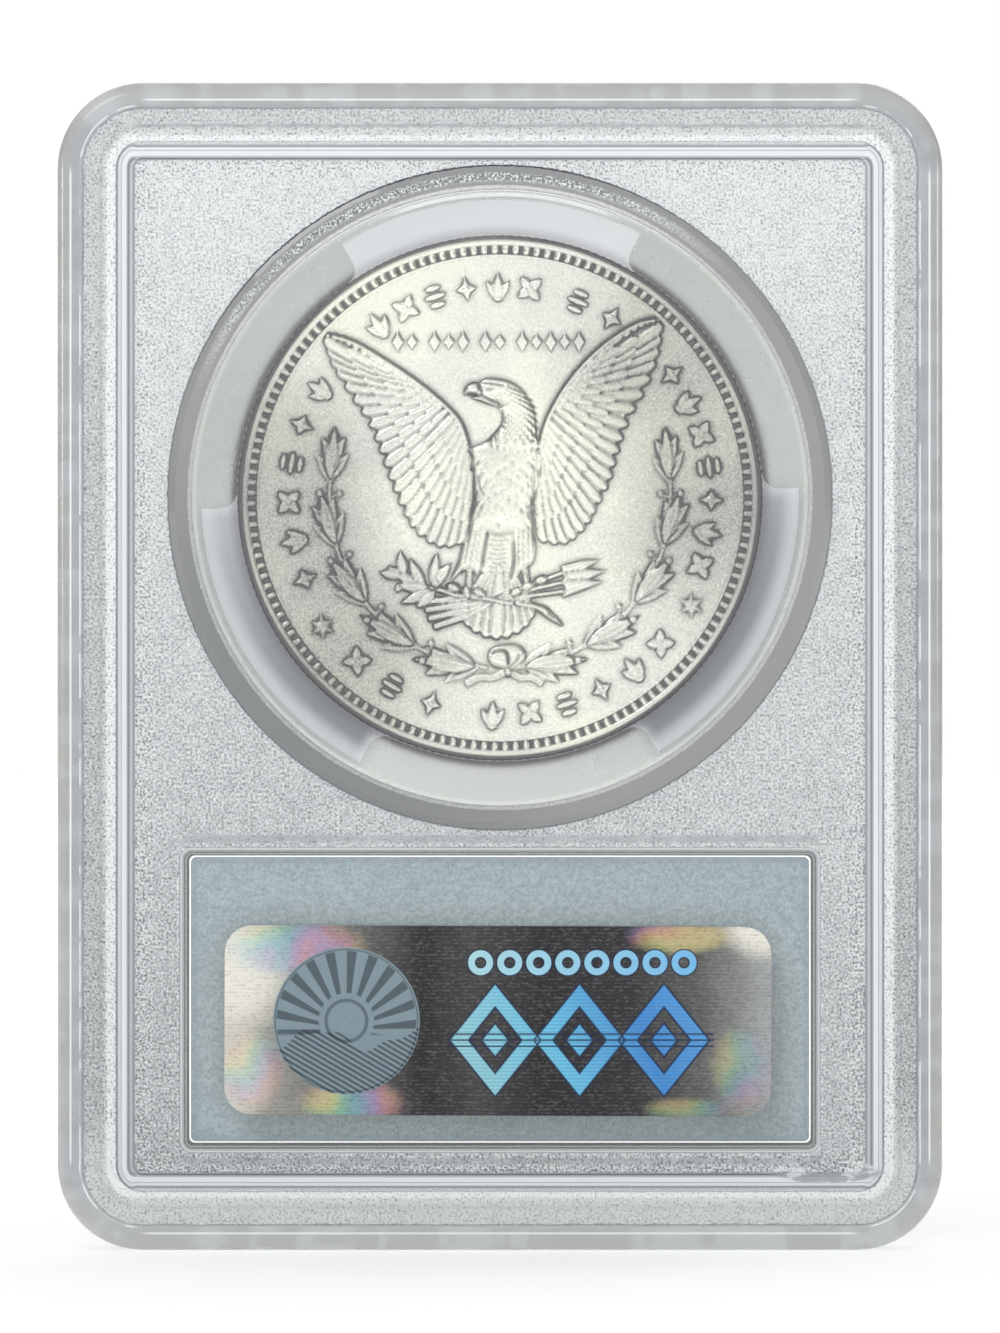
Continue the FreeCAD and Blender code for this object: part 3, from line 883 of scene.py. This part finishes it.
def wing(relief, side, arm, hem):
    """A raised wing: four rows of feathers from the arm's curve towards the hem's.

    arm and hem each run from the wing's tip to the body. side is -1 for the one on the left.
    """
    arm_line = smooth_curve(arm, 200)
    hem_line = smooth_curve(hem, 200)
    inner_hem = arm_line + 0.9 * (hem_line - arm_line)
    relief.pillow(np.vstack([arm_line, inner_hem[::-1]]), 0.1, 0.25)
    rows = (
        (21, 1.00, 0.98, 0.050, 0.120, 0.014),
        (19, 0.70, 0.84, 0.105, 0.105, 0.010),
        (17, 0.46, 0.74, 0.160, 0.090, 0.006),
        (15, 0.26, 0.64, 0.205, 0.075, 0.004),
    )
    for count, reach, width, base, crown, barbs in rows:
        for index in range(count):
            share = 1 - index / (count - 1)
            root = along_line(arm_line, 0.40 + 0.56 * share ** 1.15)
            end = along_line(hem_line, 0.01 + 0.97 * share)
            tip = root + reach * (end - root)
            length = np.hypot(*(tip - root))
            relief.blade(root, tip, width * min(1.0, 0.6 + 0.08 * length), -0.10 * side * (1 - share),
                         base, 0.03, crown, "feather", 0.02, barbs, 1.5)
    for index in range(16):
        root = along_line(arm_line, 0.62 - 0.58 * index / 15)
        inner = along_line(hem_line, 0.50 - 0.48 * index / 15)
        start = root + 0.06 * (inner - root)
        tip = start + 1.5 * (along_line(arm_line, 0.52 - 0.52 * index / 15) - start) / 2.2
        relief.blade(start, tip, 0.55, 0.0, 0.21, 0.02, 0.06, "feather", 0.02)
    relief.rod(arm_line[8::24], 0.36, 0.14, 0.17, count=120)


def scallop(relief, place, width, drop, depth):
    """The curved lower edge of one small body feather."""
    x, z = place
    relief.groove([(x - width / 2, z), (x, z - drop), (x + width / 2, z)], 0.13, depth, 8)


def eagle_body(relief):
    """The tail, the thighs with their shanks, the chest and the wings' inner ends."""
    for index, spread in enumerate((-37, 37, -28, 28, -19, 19, -9, 9, 0)):
        tip = np.array([-0.2, -5.3]) + polar(4.95 - 0.0005 * spread ** 2, 269 + spread)
        base = 0.06 + 0.006 * index
        relief.blade((0.01 * spread, -4.9), tip, 1.12, 0.0, base, 0.03, 0.12, "feather", 0.03)
    drape = [(-0.9, -2.3), (0.95, -2.3), (0.95, -5.4), (-1.35, -5.4)]
    relief.pillow(closed_outline(drape), 0.13, 0.5, merge=True)
    for row in range(9):
        place = (-0.05 + 0.12 * math.sin(row * 2.4) - 0.02 * row, -2.6 - 0.33 * row)
        scallop(relief, place, 1.3 + 0.25 * math.sin(row * 1.7), 0.15, 0.06)
    for shank in ([(-2.2, -5.2), (-2.25, -6.6)], [(1.75, -5.0), (1.95, -6.2)]):
        relief.rod(shank, 0.46, 0.2, 0.04, 8)
        for ring in range(5):
            x, z = np.array(shank[0]) + (0.3 + 0.16 * ring) * (np.array(shank[1]) - np.array(shank[0]))
            relief.groove([(x - 0.22, z), (x, z - 0.05), (x + 0.22, z)], 0.09, 0.08, 8)
    left_thigh = [(-1.9, -0.9), (-2.29, -2.4), (-2.79, -3.66), (-3.05, -4.7), (-3.6, -6.0), (-2.7, -5.35),
                  (-2.1, -5.3), (-1.62, -5.65), (-1.3, -5.0), (-1.12, -3.75), (-0.8, -2.2), (-0.9, -1.2)]
    right_thigh = [(2.2, -0.9), (2.4, -2.49), (2.58, -3.3), (2.56, -4.11), (2.31, -4.84), (1.6, -5.3),
                   (1.0, -6.2), (0.68, -6.2), (0.8, -5.2), (0.98, -4.3), (0.94, -3.0), (0.8, -1.6)]
    for side, thigh in ((-1, left_thigh), (1, right_thigh)):
        relief.pillow(closed_outline(thigh), 0.24, 0.6, merge=True)
        for row in range(7):
            for column in range(3):
                fall = row / 6
                x = side * (1.35 + 0.42 * (column - 1)) + (0.3 if side > 0 else -0.35 - 0.55 * fall)
                z = -1.9 - 3.1 * fall - 0.12 * (column % 2)
                plume = [(x, z), (x + 0.06 * side, z - 0.3), (x + 0.02 * side, z - 0.55)]
                relief.groove(plume, 0.12, 0.06, 8)
    chest = [(-1.9, 3.75), (-2.0, 2.9), (-1.98, 2.0), (-1.84, 0.7), (-1.86, -0.4), (-2.1, -1.4),
             (-1.7, -2.5), (-0.3, -2.75), (1.0, -2.7), (2.1, -2.3), (2.24, -1.3), (2.3, -0.4), (2.63, 0.6),
             (2.85, 1.84), (2.97, 3.1), (2.7, 3.8), (0.8, 4.4)]
    relief.pillow(closed_outline(chest), 0.36, 1.9, merge=True)
    for index in range(150):
        x = 0.4 + 2.0 * math.sin(index * 12.9898)
        z = 3.2 - 5.4 * ((index * 0.618034) % 1.0)
        lean = 0.08 * math.sin(index * 4.7) + 0.04 * (x - 0.4)
        depth = 0.012 + 0.02 * (0.5 + 0.5 * math.sin(index * 7.3))
        relief.groove([(x, z), (x + lean, z - 0.2), (x + 2 * lean, z - 0.45)], 0.15, depth, 6)
    for edge in ([(-1.95, 2.5), (-1.86, 0.9), (-1.84, -0.3), (-2.2, -1.5)],
                 [(2.98, 3.2), (2.85, 1.9), (2.6, 0.5), (2.24, -0.6)],
                 [(-1.7, 1.7), (-1.4, 0.6), (-1.0, 0.0)], [(-0.85, -2.3), (-1.1, -3.7), (-1.3, -5.1)],
                 [(0.96, -2.9), (0.97, -4.3), (0.72, -6.1)]):
        relief.groove(edge, 0.15, 0.075)


def eagle_head(relief):
    """The hooked beak, the brow, and the neck with its hackles."""
    neck = [(1.3, 8.0), (1.95, 7.35), (2.4, 6.53), (2.6, 5.6), (2.66, 4.6), (2.95, 3.6), (1.9, 3.15),
            (0.9, 2.95), (-0.5, 3.6), (-1.2, 3.95), (-0.8, 4.25), (-0.08, 5.09), (0.16, 5.95), (-0.1, 6.5),
            (0.2, 7.4)]
    relief.pillow(closed_outline(neck), 0.33, 0.9, merge=True)
    head = [(-1.75, 8.2), (-1.03, 8.66), (-0.13, 8.63), (0.69, 8.43), (1.41, 7.98), (1.95, 7.35),
            (1.7, 6.9), (0.9, 6.5), (0.1, 6.65), (-0.5, 6.75), (-1.4, 7.05), (-1.9, 7.5)]
    relief.pillow(closed_outline(head), 0.32, 0.7, merge=True)
    throat = smooth_curve([(-0.3, 7.2), (0.1, 6.4), (0.16, 5.7), (-0.1, 5.05), (-0.9, 4.15)], 60)
    nape = smooth_curve([(0.6, 8.35), (1.95, 7.3), (2.4, 6.5), (2.6, 5.4), (2.75, 3.9)], 60)
    for row in range(15):
        for column in range(6):
            across = (column + 0.5 * (row % 2)) / 5.7
            index = min(58, int(59 * (row + 0.6 * column / 6) / 15.5))
            place = throat[index] + across * (nape[index] - throat[index])
            run = (1 - across) * (throat[index + 1] - throat[index])
            run = run + across * (nape[index + 1] - nape[index])
            run = run / np.hypot(*run) + np.array([0.25 * across, 0.0])
            curl = np.array([run[1], -run[0]]) * 0.1 * (across - 0.4)
            depth = 0.05 + 0.11 * abs(across - 0.42)
            relief.groove([place, place + 0.3 * run, place + 0.6 * run - curl], 0.13, depth, 8)
    for step in range(7):
        across = step / 6
        z = 3.35 + 0.9 * abs(across - 0.55) ** 1.4
        root = (-0.5 + 3.1 * across, z + 0.75)
        relief.blade(root, (-0.35 + 2.9 * across, z - 0.35), 0.42, 0.0, 0.30, 0.0, 0.05, "leaf", 0.02)
    jaw = [(-2.1, 7.2), (-1.3, 6.97), (-0.4, 6.62), (-0.3, 6.9), (-1.2, 7.3), (-2.0, 7.36)]
    relief.pillow(jaw, 0.24, 0.25, merge=True)
    beak = [(-1.6, 8.33), (-2.1, 8.32), (-2.48, 8.05), (-2.62, 7.35), (-2.35, 7.52), (-1.9, 7.48),
            (-1.3, 7.4), (-1.4, 8.0)]
    relief.pillow(closed_outline(beak), 0.28, 0.35)
    relief.groove([(-2.34, 7.45), (-1.39, 7.35), (-0.4, 6.92), (0.05, 6.8)], 0.15, 0.15)
    relief.groove([(-1.62, 8.35), (-1.5, 7.95), (-1.66, 7.5)], 0.12, 0.08)
    relief.groove([(-1.35, 8.36), (-0.7, 8.34), (-0.1, 8.25), (0.5, 8.15)], 0.14, 0.12)
    relief.knob((-0.72, 8.02), 0.23, 0.09, 0.27)
    relief.groove([(-1.0, 7.98), (-0.7, 7.8), (-0.4, 7.95)], 0.1, 0.1)
    relief.groove([(-0.9, 7.55), (-0.3, 7.45), (0.1, 7.6)], 0.12, 0.06)


def eagle(relief):
    """An eagle that faces left, wings raised, standing on a branch and a sheaf of arrows."""
    wing(relief, -1,
         [(-12.75, 11.85), (-10.8, 11.3), (-8.5, 10.0), (-6.4, 8.6), (-4.6, 7.2), (-3.2, 5.8), (-2.5, 4.4),
          (-1.9, 1.0)],
         [(-12.75, 11.6), (-12.2, 9.9), (-11.0, 7.7), (-9.6, 5.5), (-8.7, 3.3), (-7.9, 1.1), (-7.0, -1.0),
          (-5.9, -2.7), (-4.3, -3.6), (-2.7, -3.3)])
    wing(relief, 1,
         [(11.7, 12.95), (10.1, 12.6), (7.8, 11.2), (5.6, 9.1), (4.2, 7.1), (3.4, 5.5), (3.0, 4.1),
          (2.5, 1.0)],
         [(11.75, 12.6), (11.5, 10.6), (10.7, 8.2), (9.4, 5.6), (8.6, 3.3), (8.0, 1.2), (7.0, -0.8),
          (6.0, -2.4), (4.6, -3.4), (2.9, -3.2)])
    eagle_body(relief)
    eagle_head(relief)


def perch(relief):
    """The arrows with their fletching, the branch with its leaves, and the eagle's toes."""
    for index, (x, z) in enumerate(((-5.5, -7.5), (-5.45, -8.12), (-5.2, -8.74), (-4.8, -9.34))):
        shoulder = np.array([-2.3, -7.25 - 0.42 * index])
        relief.rod([shoulder, (-1.4, -7.4 - 0.2 * index), (-0.4, -7.45)], 0.34, 0.12, 0.06, 16)
        relief.rod([(x, z), ((x - 2.3) / 2, (z + shoulder[1]) / 2), shoulder], 0.5, 0.18, 0.05, 24)
        relief.groove([(x, z), ((x - 2.3) / 2, (z + shoulder[1]) / 2), shoulder], 0.12, 0.1)
    for x, z in ((4.7, -5.35), (5.0, -6.0), (4.7, -6.75)):
        relief.rod([(-0.6, -7.4), (1.9, 0.5 * (z - 7.3) - 0.1), (x, z)], 0.34, 0.14, 0.06, 24)
    for dx, dz, lean in ((-0.15, 1.35, 10), (0.25, 0.72, 4), (0.0, 0.0, 0)):
        head = turned([(1.6, 0.28), (-1.55, -0.95), (-1.3, -0.3), (-1.5, 0.35), (0.2, 0.5)], lean,
                      (6.0 + dx, -6.35 + dz))
        relief.pillow(head, 0.16, 0.3, 0.03)
        relief.groove([head[2], (head[2] + head[0]) / 2, head[0]], 0.1, 0.05)
    branch = [(-5.8, -6.64), (-5.2, -6.52), (-4.4, -6.64), (-3.1, -7.05), (-1.3, -7.25), (0.5, -7.6),
              (1.9, -7.75), (3.1, -8.1)]
    relief.rod(branch, 0.42, 0.2, 0.1, 60)
    branch_end = [(1.2, -7.45), (2.6, -7.65), (3.6, -8.1), (4.6, -9.3), (3.4, -8.7), (2.6, -8.15),
                  (1.2, -7.85)]
    relief.pillow(closed_outline(branch_end), 0.26, 0.25)
    relief.groove([(3.45, -8.2), (3.75, -8.45), (4.1, -8.85)], 0.3, 0.12)
    leaves = (
        ((-5.4, -6.5), 150, 3.4), ((-5.4, -6.5), 118, 2.6), ((-5.2, -6.4), 178, 2.5),
        ((-4.8, -6.5), 84, 2.7), ((-4.8, -6.5), 55, 2.3), ((-5.0, -6.6), 205, 2.6),
        ((-4.7, -6.7), 222, 2.0), ((-6.9, -5.6), 100, 1.9), ((-7.1, -5.6), 172, 1.7),
    )
    for root, heading, length in leaves:
        tip = np.array(root) + polar(length * 0.95, heading)
        relief.blade(root, tip, 0.8, 0.06, 0.05, 0.05, 0.11, "leaf", 0.06)
    relief.rod([(-4.6, -6.6), (-4.75, -6.2)], 0.16, 0.1, count=6)
    for berry in ((-4.72, -6.1), (-7.4, -6.6)):
        relief.knob(berry, 0.26, 0.14)
    toe = [(-0.55, 0), (-0.3, 0.3), (0.25, 0.3), (0.55, 0), (0.25, -0.3), (-0.3, -0.3)]
    for x, z, lean in ((-3.35, -6.5, -20), (-2.4, -6.85, -80), (-1.5, -6.85, -25),
                       (1.2, -6.8, 30), (2.0, -6.4, 20), (3.0, -5.95, 15)):
        relief.pillow(closed_outline(turned(toe, lean, (x, z))), 0.3, 0.32, 0.05)
        relief.groove(turned([(-0.15, 0.25), (-0.05, 0.0), (-0.15, -0.25)], lean, (x, z)), 0.1, 0.06, 8)


def small_ornaments(relief):
    """A row of little lozenges above the eagle, in four groups."""
    x = -7.4
    for group in (2, 3, 2, 5):
        for index in range(group):
            tall = 1.75 if index % 2 == 0 else 1.3
            relief.plateau(turned(lozenge(0.92, tall, 0.9), 0, (x, 11.3)), 0.12, 0.08)
            x += 1.03
        x += 0.6


def strike_obverse():
    """The side toward the front: a rayed star in a closed laurel ring, plain ornaments and beads."""
    relief = Relief(FIELD_RADIUS, RELIEF_STEP)
    for ray in range(24):
        long = 5.4 if ray % 2 == 0 else 4.2
        relief.blade((0, 0), polar(long, 15 * ray + 90), 0.9, 0.0, 0.03, 0.0, 0.12, "leaf", 0.05)
    relief.pillow(star((0, 0), 3.9, 1.7, 6, 90), 0.26, 1.3, 0.03)
    relief.knob((0, 0), 1.0, 0.14, 0.16)
    for bead in range(48):
        relief.knob(polar(7.0, 7.5 * bead), 0.26, 0.14)
    relief.rod([polar(10.6, 10 * a) for a in range(37)], 0.34, 0.11, count=220)
    for index in range(16):
        laurel_cluster(relief, 10.6, 22.5 * index, 1, 0.95)
    for index in range(32):
        legend_ornament(relief, 15.2, 11.25 * index, index % 4)
    relief.soften(METAL_FLOW)
    return relief


def strike_reverse():
    """The side toward the back: an eagle, a wreath, stars and ornaments."""
    relief = Relief(FIELD_RADIUS, RELIEF_STEP)
    wreath(relief)
    ornament_run(relief, 202.6, 149.1, 6, 0)
    ornament_run(relief, 125.2, 81.9, 6, 1)
    ornament_run(relief, 68.4, 58.2, 2, 3)
    ornament_run(relief, 35.6, -18.7, 7, 0)
    ornament_run(relief, 228.8, 251.4, 3, 2, 15.7, False)
    ornament_run(relief, 268.0, 317.8, 6, 1, 15.7, False)
    for degrees in (215.9, -29.4):
        centre = polar(15.9, degrees)
        relief.pillow(star(centre, 1.1, 0.5, 6, degrees), 0.17, 0.5)
    small_ornaments(relief)
    eagle(relief)
    perch(relief)
    relief.soften(METAL_FLOW)
    return relief


# ---------------------------------------------------------------- the coin's mesh
FACE_CELLS = 440            # cells across the reverse; the obverse has half as many
DENTILS = 148
DENTIL_HEIGHT = 0.24
DENTIL_SHARE = 0.66         # of the pitch; the rest is the gap between two
DENTIL_START = 17.6
DENTIL_ROUND = 17.86        # where a dentil's rounded inner end is at its widest
DENTIL_END = 18.25
RIM_START = 18.14
RIM_SLOPE = 0.2
REEDS = 189                 # round the coin's edge
REED_DEPTH = 0.07
HOLLOW_REACH = 0.22         # a point darkens by how far it lies below the mean height around it
HOLLOW_DEPTH = 0.07
# the radii of the mesh's rings of points across the dentils and the rim
RIM_RINGS = (17.4, 17.52, 17.6, 17.65, 17.7, 17.76, 17.84, 17.93, 18.02, 18.1, 18.18, 18.25,
             18.32, 18.4, 18.6, 18.8)
EDGE_ROUND = 0.22


def disc_grid(cells):
    """A square grid of points bent into a disc of radius 1, and its border in order."""
    line = np.linspace(-1, 1, cells + 1)
    u, v = np.meshgrid(line, line)
    x = u * np.sqrt(1 - v ** 2 / 2)
    z = v * np.sqrt(1 - u ** 2 / 2)
    index = np.arange((cells + 1) ** 2).reshape(cells + 1, cells + 1)
    border = np.concatenate([index[0, :-1], index[:-1, -1], index[-1, :0:-1], index[:0:-1, 0]])
    quads = np.stack([index[:-1, :-1], index[:-1, 1:], index[1:, 1:], index[1:, :-1]], -1).reshape(-1, 4)
    return x.ravel(), z.ravel(), border, quads


def sampled(relief, x, z):
    """The relief's height at any points, between its own."""
    u = (x + relief.reach) / relief.step
    v = (z + relief.reach) / relief.step
    i = np.clip(u.astype(int), 0, len(relief.line) - 2)
    j = np.clip(v.astype(int), 0, len(relief.line) - 2)
    s = u - i
    t = v - j
    h = relief.height
    low = h[j, i] * (1 - s) + h[j, i + 1] * s
    high = h[j + 1, i] * (1 - s) + h[j + 1, i + 1] * s
    return low * (1 - t) + high * t


def rim_height(radius, angle):
    """Height of the dentils and the raised rim, from the coin's middle plane."""
    field = COIN_HALF - FIELD_DROP
    phase = np.abs((angle * DENTILS / (2 * np.pi)) % 1 - 0.5) * 2 / DENTIL_SHARE
    inward = np.clip((DENTIL_ROUND - radius) / (DENTIL_ROUND - DENTIL_START), 0, None)
    tooth = np.sqrt(np.clip(1 - phase ** 2 - inward ** 2, 0, 1)) * DENTIL_HEIGHT
    rise = np.clip((radius - RIM_START) / RIM_SLOPE, 0, 1)
    rise = rise * rise * (3 - 2 * rise)
    return np.maximum(field + tooth, field + rise * FIELD_DROP)


def steepness(relief):
    """The painted shade on each point of a face: 0 where it is level, 1 on steep sides and in hollows."""
    along_z, along_x = np.gradient(relief.height, relief.step)
    slope = np.hypot(along_x, along_z)
    shade = Relief(relief.reach, relief.step)
    shade.height = relief.height.copy()
    shade.soften(HOLLOW_REACH)
    hollow = np.clip((shade.height - relief.height) / HOLLOW_DEPTH, 0, 1)
    shade.height = np.clip(0.75 * np.clip((slope - 0.2) / 0.9, 0, 1) + 0.6 * hollow, 0, 1)
    return shade


def face_ring(relief, cells, sign):
    """One struck face with its dentils and rim: its points, shades, faces and outermost loop.

    sign is -1 for the face toward -Y.
    """
    unit_x, unit_z, border, quads = disc_grid(cells)
    x = unit_x * FIELD_RADIUS
    z = unit_z * FIELD_RADIUS
    angle = np.arctan2(z[border], x[border])
    field = COIN_HALF - FIELD_DROP
    y = field + sampled(relief, x, z)
    y[border] = field
    points = [np.column_stack([x, sign * y, z])]
    shades = [sampled(steepness(relief), x, z)]
    profile = []
    for radius in RIM_RINGS:
        profile.append((radius + 0 * angle, rim_height(radius, angle)))
    reeding = 0.5 - 0.5 * np.cos(angle * REEDS)
    for turn in np.linspace(0, 90, 4):
        depth = REED_DEPTH * reeding * (turn / 90) ** 2
        radius = COIN_RADIUS - EDGE_ROUND * (1 - math.sin(math.radians(turn))) - depth
        profile.append((radius, COIN_HALF - EDGE_ROUND * (1 - math.cos(math.radians(turn))) + 0 * angle))
    for radius, height in profile:
        points.append(np.column_stack([radius * np.cos(angle), sign * height, radius * np.sin(angle)]))
        # painted shade in the gaps between the dentils
        gap = np.clip(1 - (height - field) / (0.9 * DENTIL_HEIGHT), 0, 1)
        among_dentils = (radius > DENTIL_START) & (radius < DENTIL_END)
        shades.append(np.where(among_dentils, gap, 0.05))
    face_count = len(x)
    loops = [border]
    for index in range(len(profile)):
        loops.append(face_count + index * len(angle) + np.arange(len(angle)))
    faces = [quads]
    for inner, outer in zip(loops[:-1], loops[1:]):
        faces.append(np.stack([inner, np.roll(inner, -1), np.roll(outer, -1), outer], -1)[:, ::-1])
    quads = np.vstack(faces)
    return np.vstack(points), np.concatenate(shades), quads if sign < 0 else quads[:, ::-1], loops[-1]


def coin_mesh():
    """One closed mesh: both struck faces, dentils, rims and the reeded edge.

    Returns its points, its faces and the painted shade of each point.
    """
    reverse = face_ring(strike_reverse(), FACE_CELLS, -1)
    obverse = face_ring(strike_obverse(), FACE_CELLS // 2, 1)
    start = len(reverse[0])
    fine = reverse[3]
    coarse = obverse[3] + start
    edge = np.stack([coarse, np.roll(coarse, -1), np.roll(fine, -2)[::2], fine[1::2], fine[::2]], -1)
    faces = reverse[2].tolist() + (obverse[2] + start).tolist() + edge.tolist()
    return np.vstack([reverse[0], obverse[0]]), faces, np.concatenate([reverse[1], obverse[1]])


dress("back_shell", shell_plastic("back_plastic", BACK_LINES))
dress("front_shell", shell_plastic("front_plastic", FRONT_LINES))


def new_piece(name, vertices, faces, material, replaced):
    """A mesh object in the row frame that rides on the slab. vertices are in mm."""
    mesh = bpy.data.meshes.new(name)
    mesh.from_pydata((np.asarray(vertices) * MM).tolist(), [], faces)
    mesh.validate()
    piece = bpy.data.objects.new(name, mesh)
    bpy.context.scene.collection.objects.link(piece)
    mesh.materials.append(material)
    mesh.shade_smooth()
    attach(piece, "root")
    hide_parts(replaced)
    return piece


def silver():
    """Uncirculated silver: bright fields with radial flow lines and faint toning, with painted shade on
    steep edges, in hollows and along the edge, and painted cartwheel lustre on the fields.
    """
    s = Surface("struck_silver")
    up = s.z - COIN_CENTRE_Z
    radius = distance_from_lens_centre(s)
    turn = up.math("ARCTAN2", s.x)
    shade = s.attribute("relief_shade")
    toning = s.noise(8.0, 2.0, 0.5)
    grain = s.noise(0.15, 2.0, 0.7)
    fresh = s.blend(toning.step(0.5, 0.3), (0.90, 0.905, 0.77), (0.87, 0.885, 0.80))
    # painted cartwheel lustre: the fields darken away from two bright lobes, toward the bottom and in the
    # middle, with toning varying it at random
    bright_lobes = toward(turn * 2.0, 3.7)
    bright_lobes = (bright_lobes + (toning - 0.5) * 0.8).step(0.55, 0.8)
    toning_and_lustre_shade = (1.0 - bright_lobes) * radius.step(9.0, 9.0) * 0.5 + (toning - 0.5) * 0.5 + 0.04
    toning_and_lustre_shade = toning_and_lustre_shade + up.fall(-9.0, 8.0) * 0.1 + radius.fall(5.0, 6.0) * 0.1
    worn = (grain - 0.5) * (0.5 + toning_and_lustre_shade)
    # painted shadow along the coin's outer edge
    edge_shadow = radius.step(18.66, 0.25) * 0.85
    marks = s.noise(0.7, 4.0, 0.75).step(0.70, 0.05) * 0.25
    # painted shade and shadow, with marks, wear and toning, darken the fresh colour
    shade_and_wear = (shade * 0.95 + edge_shadow + marks + toning_and_lustre_shade + worn).min(1.0).max(0.0)
    s.paint(s.blend(shade_and_wear, fresh, (0.07, 0.06, 0.066)))
    s.drive("Roughness", 0.2 + shade_and_wear * 0.2)
    s.set(Metallic=1.0, Anisotropic=0.4)
    tangent = s.tree.nodes.new("ShaderNodeTangent")
    tangent.direction_type = "RADIAL"
    tangent.axis = "Y"
    s.link(tangent.outputs[0], s.shader.inputs["Tangent"])
    s.bump(grain, 0.005)
    return s.material


coin_points, coin_faces, coin_shade = coin_mesh()
coin_points[:, 2] += COIN_CENTRE_Z
coin = new_piece("struck_coin", coin_points, coin_faces, silver(), "coin")
shade = coin.data.attributes.new("relief_shade", "FLOAT", "POINT")
shade.data.foreach_set("value", coin_shade.astype(np.float32))
dress("label_card", label_paper("card"))
dress("security_sticker", foil("foil"))
dress("coin_insert_ring", milky_insert("insert_plastic"))


# ---------------------------------------------------------------- floor, light and camera
def make_floor():
    mesh = bpy.data.meshes.new("floor")
    half = 3.0
    corners = [(-half, -half, 0), (half, -half, 0), (half, half, 0), (-half, half, 0)]
    mesh.from_pydata(corners, [], [(0, 1, 2, 3)])
    floor = bpy.data.objects.new("floor", mesh)
    bpy.context.scene.collection.objects.link(floor)
    paint = Surface("pale_floor")
    paint.set(Base_Color=(0.95, 0.95, 0.95, 1), Roughness=0.9, Emission_Color=(1, 1, 1, 1))
    # the floor glows, a painted light, more strongly away from the slab
    far = (paint.x * paint.x + paint.y * paint.y).math("SQRT").step(180.0, 320.0)
    paint.drive("Emission Strength", 0.22 + far * 0.5)
    mesh.materials.append(paint.material)


def make_world():
    world = bpy.data.worlds.new("studio")
    bpy.context.scene.world = world
    world.use_nodes = True
    tree = world.node_tree
    background = next(n for n in tree.nodes if n.type == "BACKGROUND")
    coordinates = tree.nodes.new("ShaderNodeTexCoord")
    parts = tree.nodes.new("ShaderNodeSeparateXYZ")
    tree.links.new(coordinates.outputs["Generated"], parts.inputs[0])
    along_y = Field(tree, parts.outputs[1]).abs()
    overhead = Field(tree, parts.outputs[2])
    light = along_y.step(0.84, 0.36) * 0.94 + overhead.step(0.6, 0.5) * 0.7 + 0.18
    path = tree.nodes.new("ShaderNodeLightPath")
    seen = Field(tree, path.outputs["Is Camera Ray"])
    strength = light * (1.0 - seen) + seen * 1.0
    tree.links.new(strength.socket, background.inputs["Strength"])
    background.inputs["Color"].default_value = (1, 1, 1, 1)


LAMP_TARGET = Vector((0, 0, 0.05))


def area_light(name, place, size, power):
    """A soft round lamp aimed at the slab."""
    data = bpy.data.lights.new(name, "AREA")
    data.shape = "DISK"
    data.size = size
    data.energy = power
    lamp = bpy.data.objects.new(name, data)
    lamp.location = place
    lamp.rotation_euler = (LAMP_TARGET - Vector(place)).to_track_quat("-Z", "Y").to_euler()
    bpy.context.scene.collection.objects.link(lamp)


VIEW_HEIGHT = 96.2 * MM     # what the picture's height covers at the slab's back
CAMERA_DISTANCE = 0.7
SENSOR_SIZE = 36.0


def make_camera():
    data = bpy.data.cameras.new("camera")
    data.sensor_width = SENSOR_SIZE
    data.lens = SENSOR_SIZE * CAMERA_DISTANCE / VIEW_HEIGHT
    camera = bpy.data.objects.new("camera", data)
    camera.location = (0, slab_low.y - CAMERA_DISTANCE, SLAB_HEIGHT / 2 * MM)
    camera.rotation_euler = (math.pi / 2, 0, 0)
    bpy.context.scene.collection.objects.link(camera)
    bpy.context.scene.camera = camera


make_floor()
make_world()
area_light("key", (-0.3, -0.6, 0.5), 0.3, 0.9)
area_light("left_strip", (-0.6, -0.12, 0.1), 0.12, 0.3)
area_light("right_strip", (0.6, -0.12, 0.1), 0.12, 0.3)
area_light("rear", (0.3, 0.6, 0.5), 0.3, 0.45)
make_camera()
bpy.context.scene.view_settings.view_transform = "Standard"
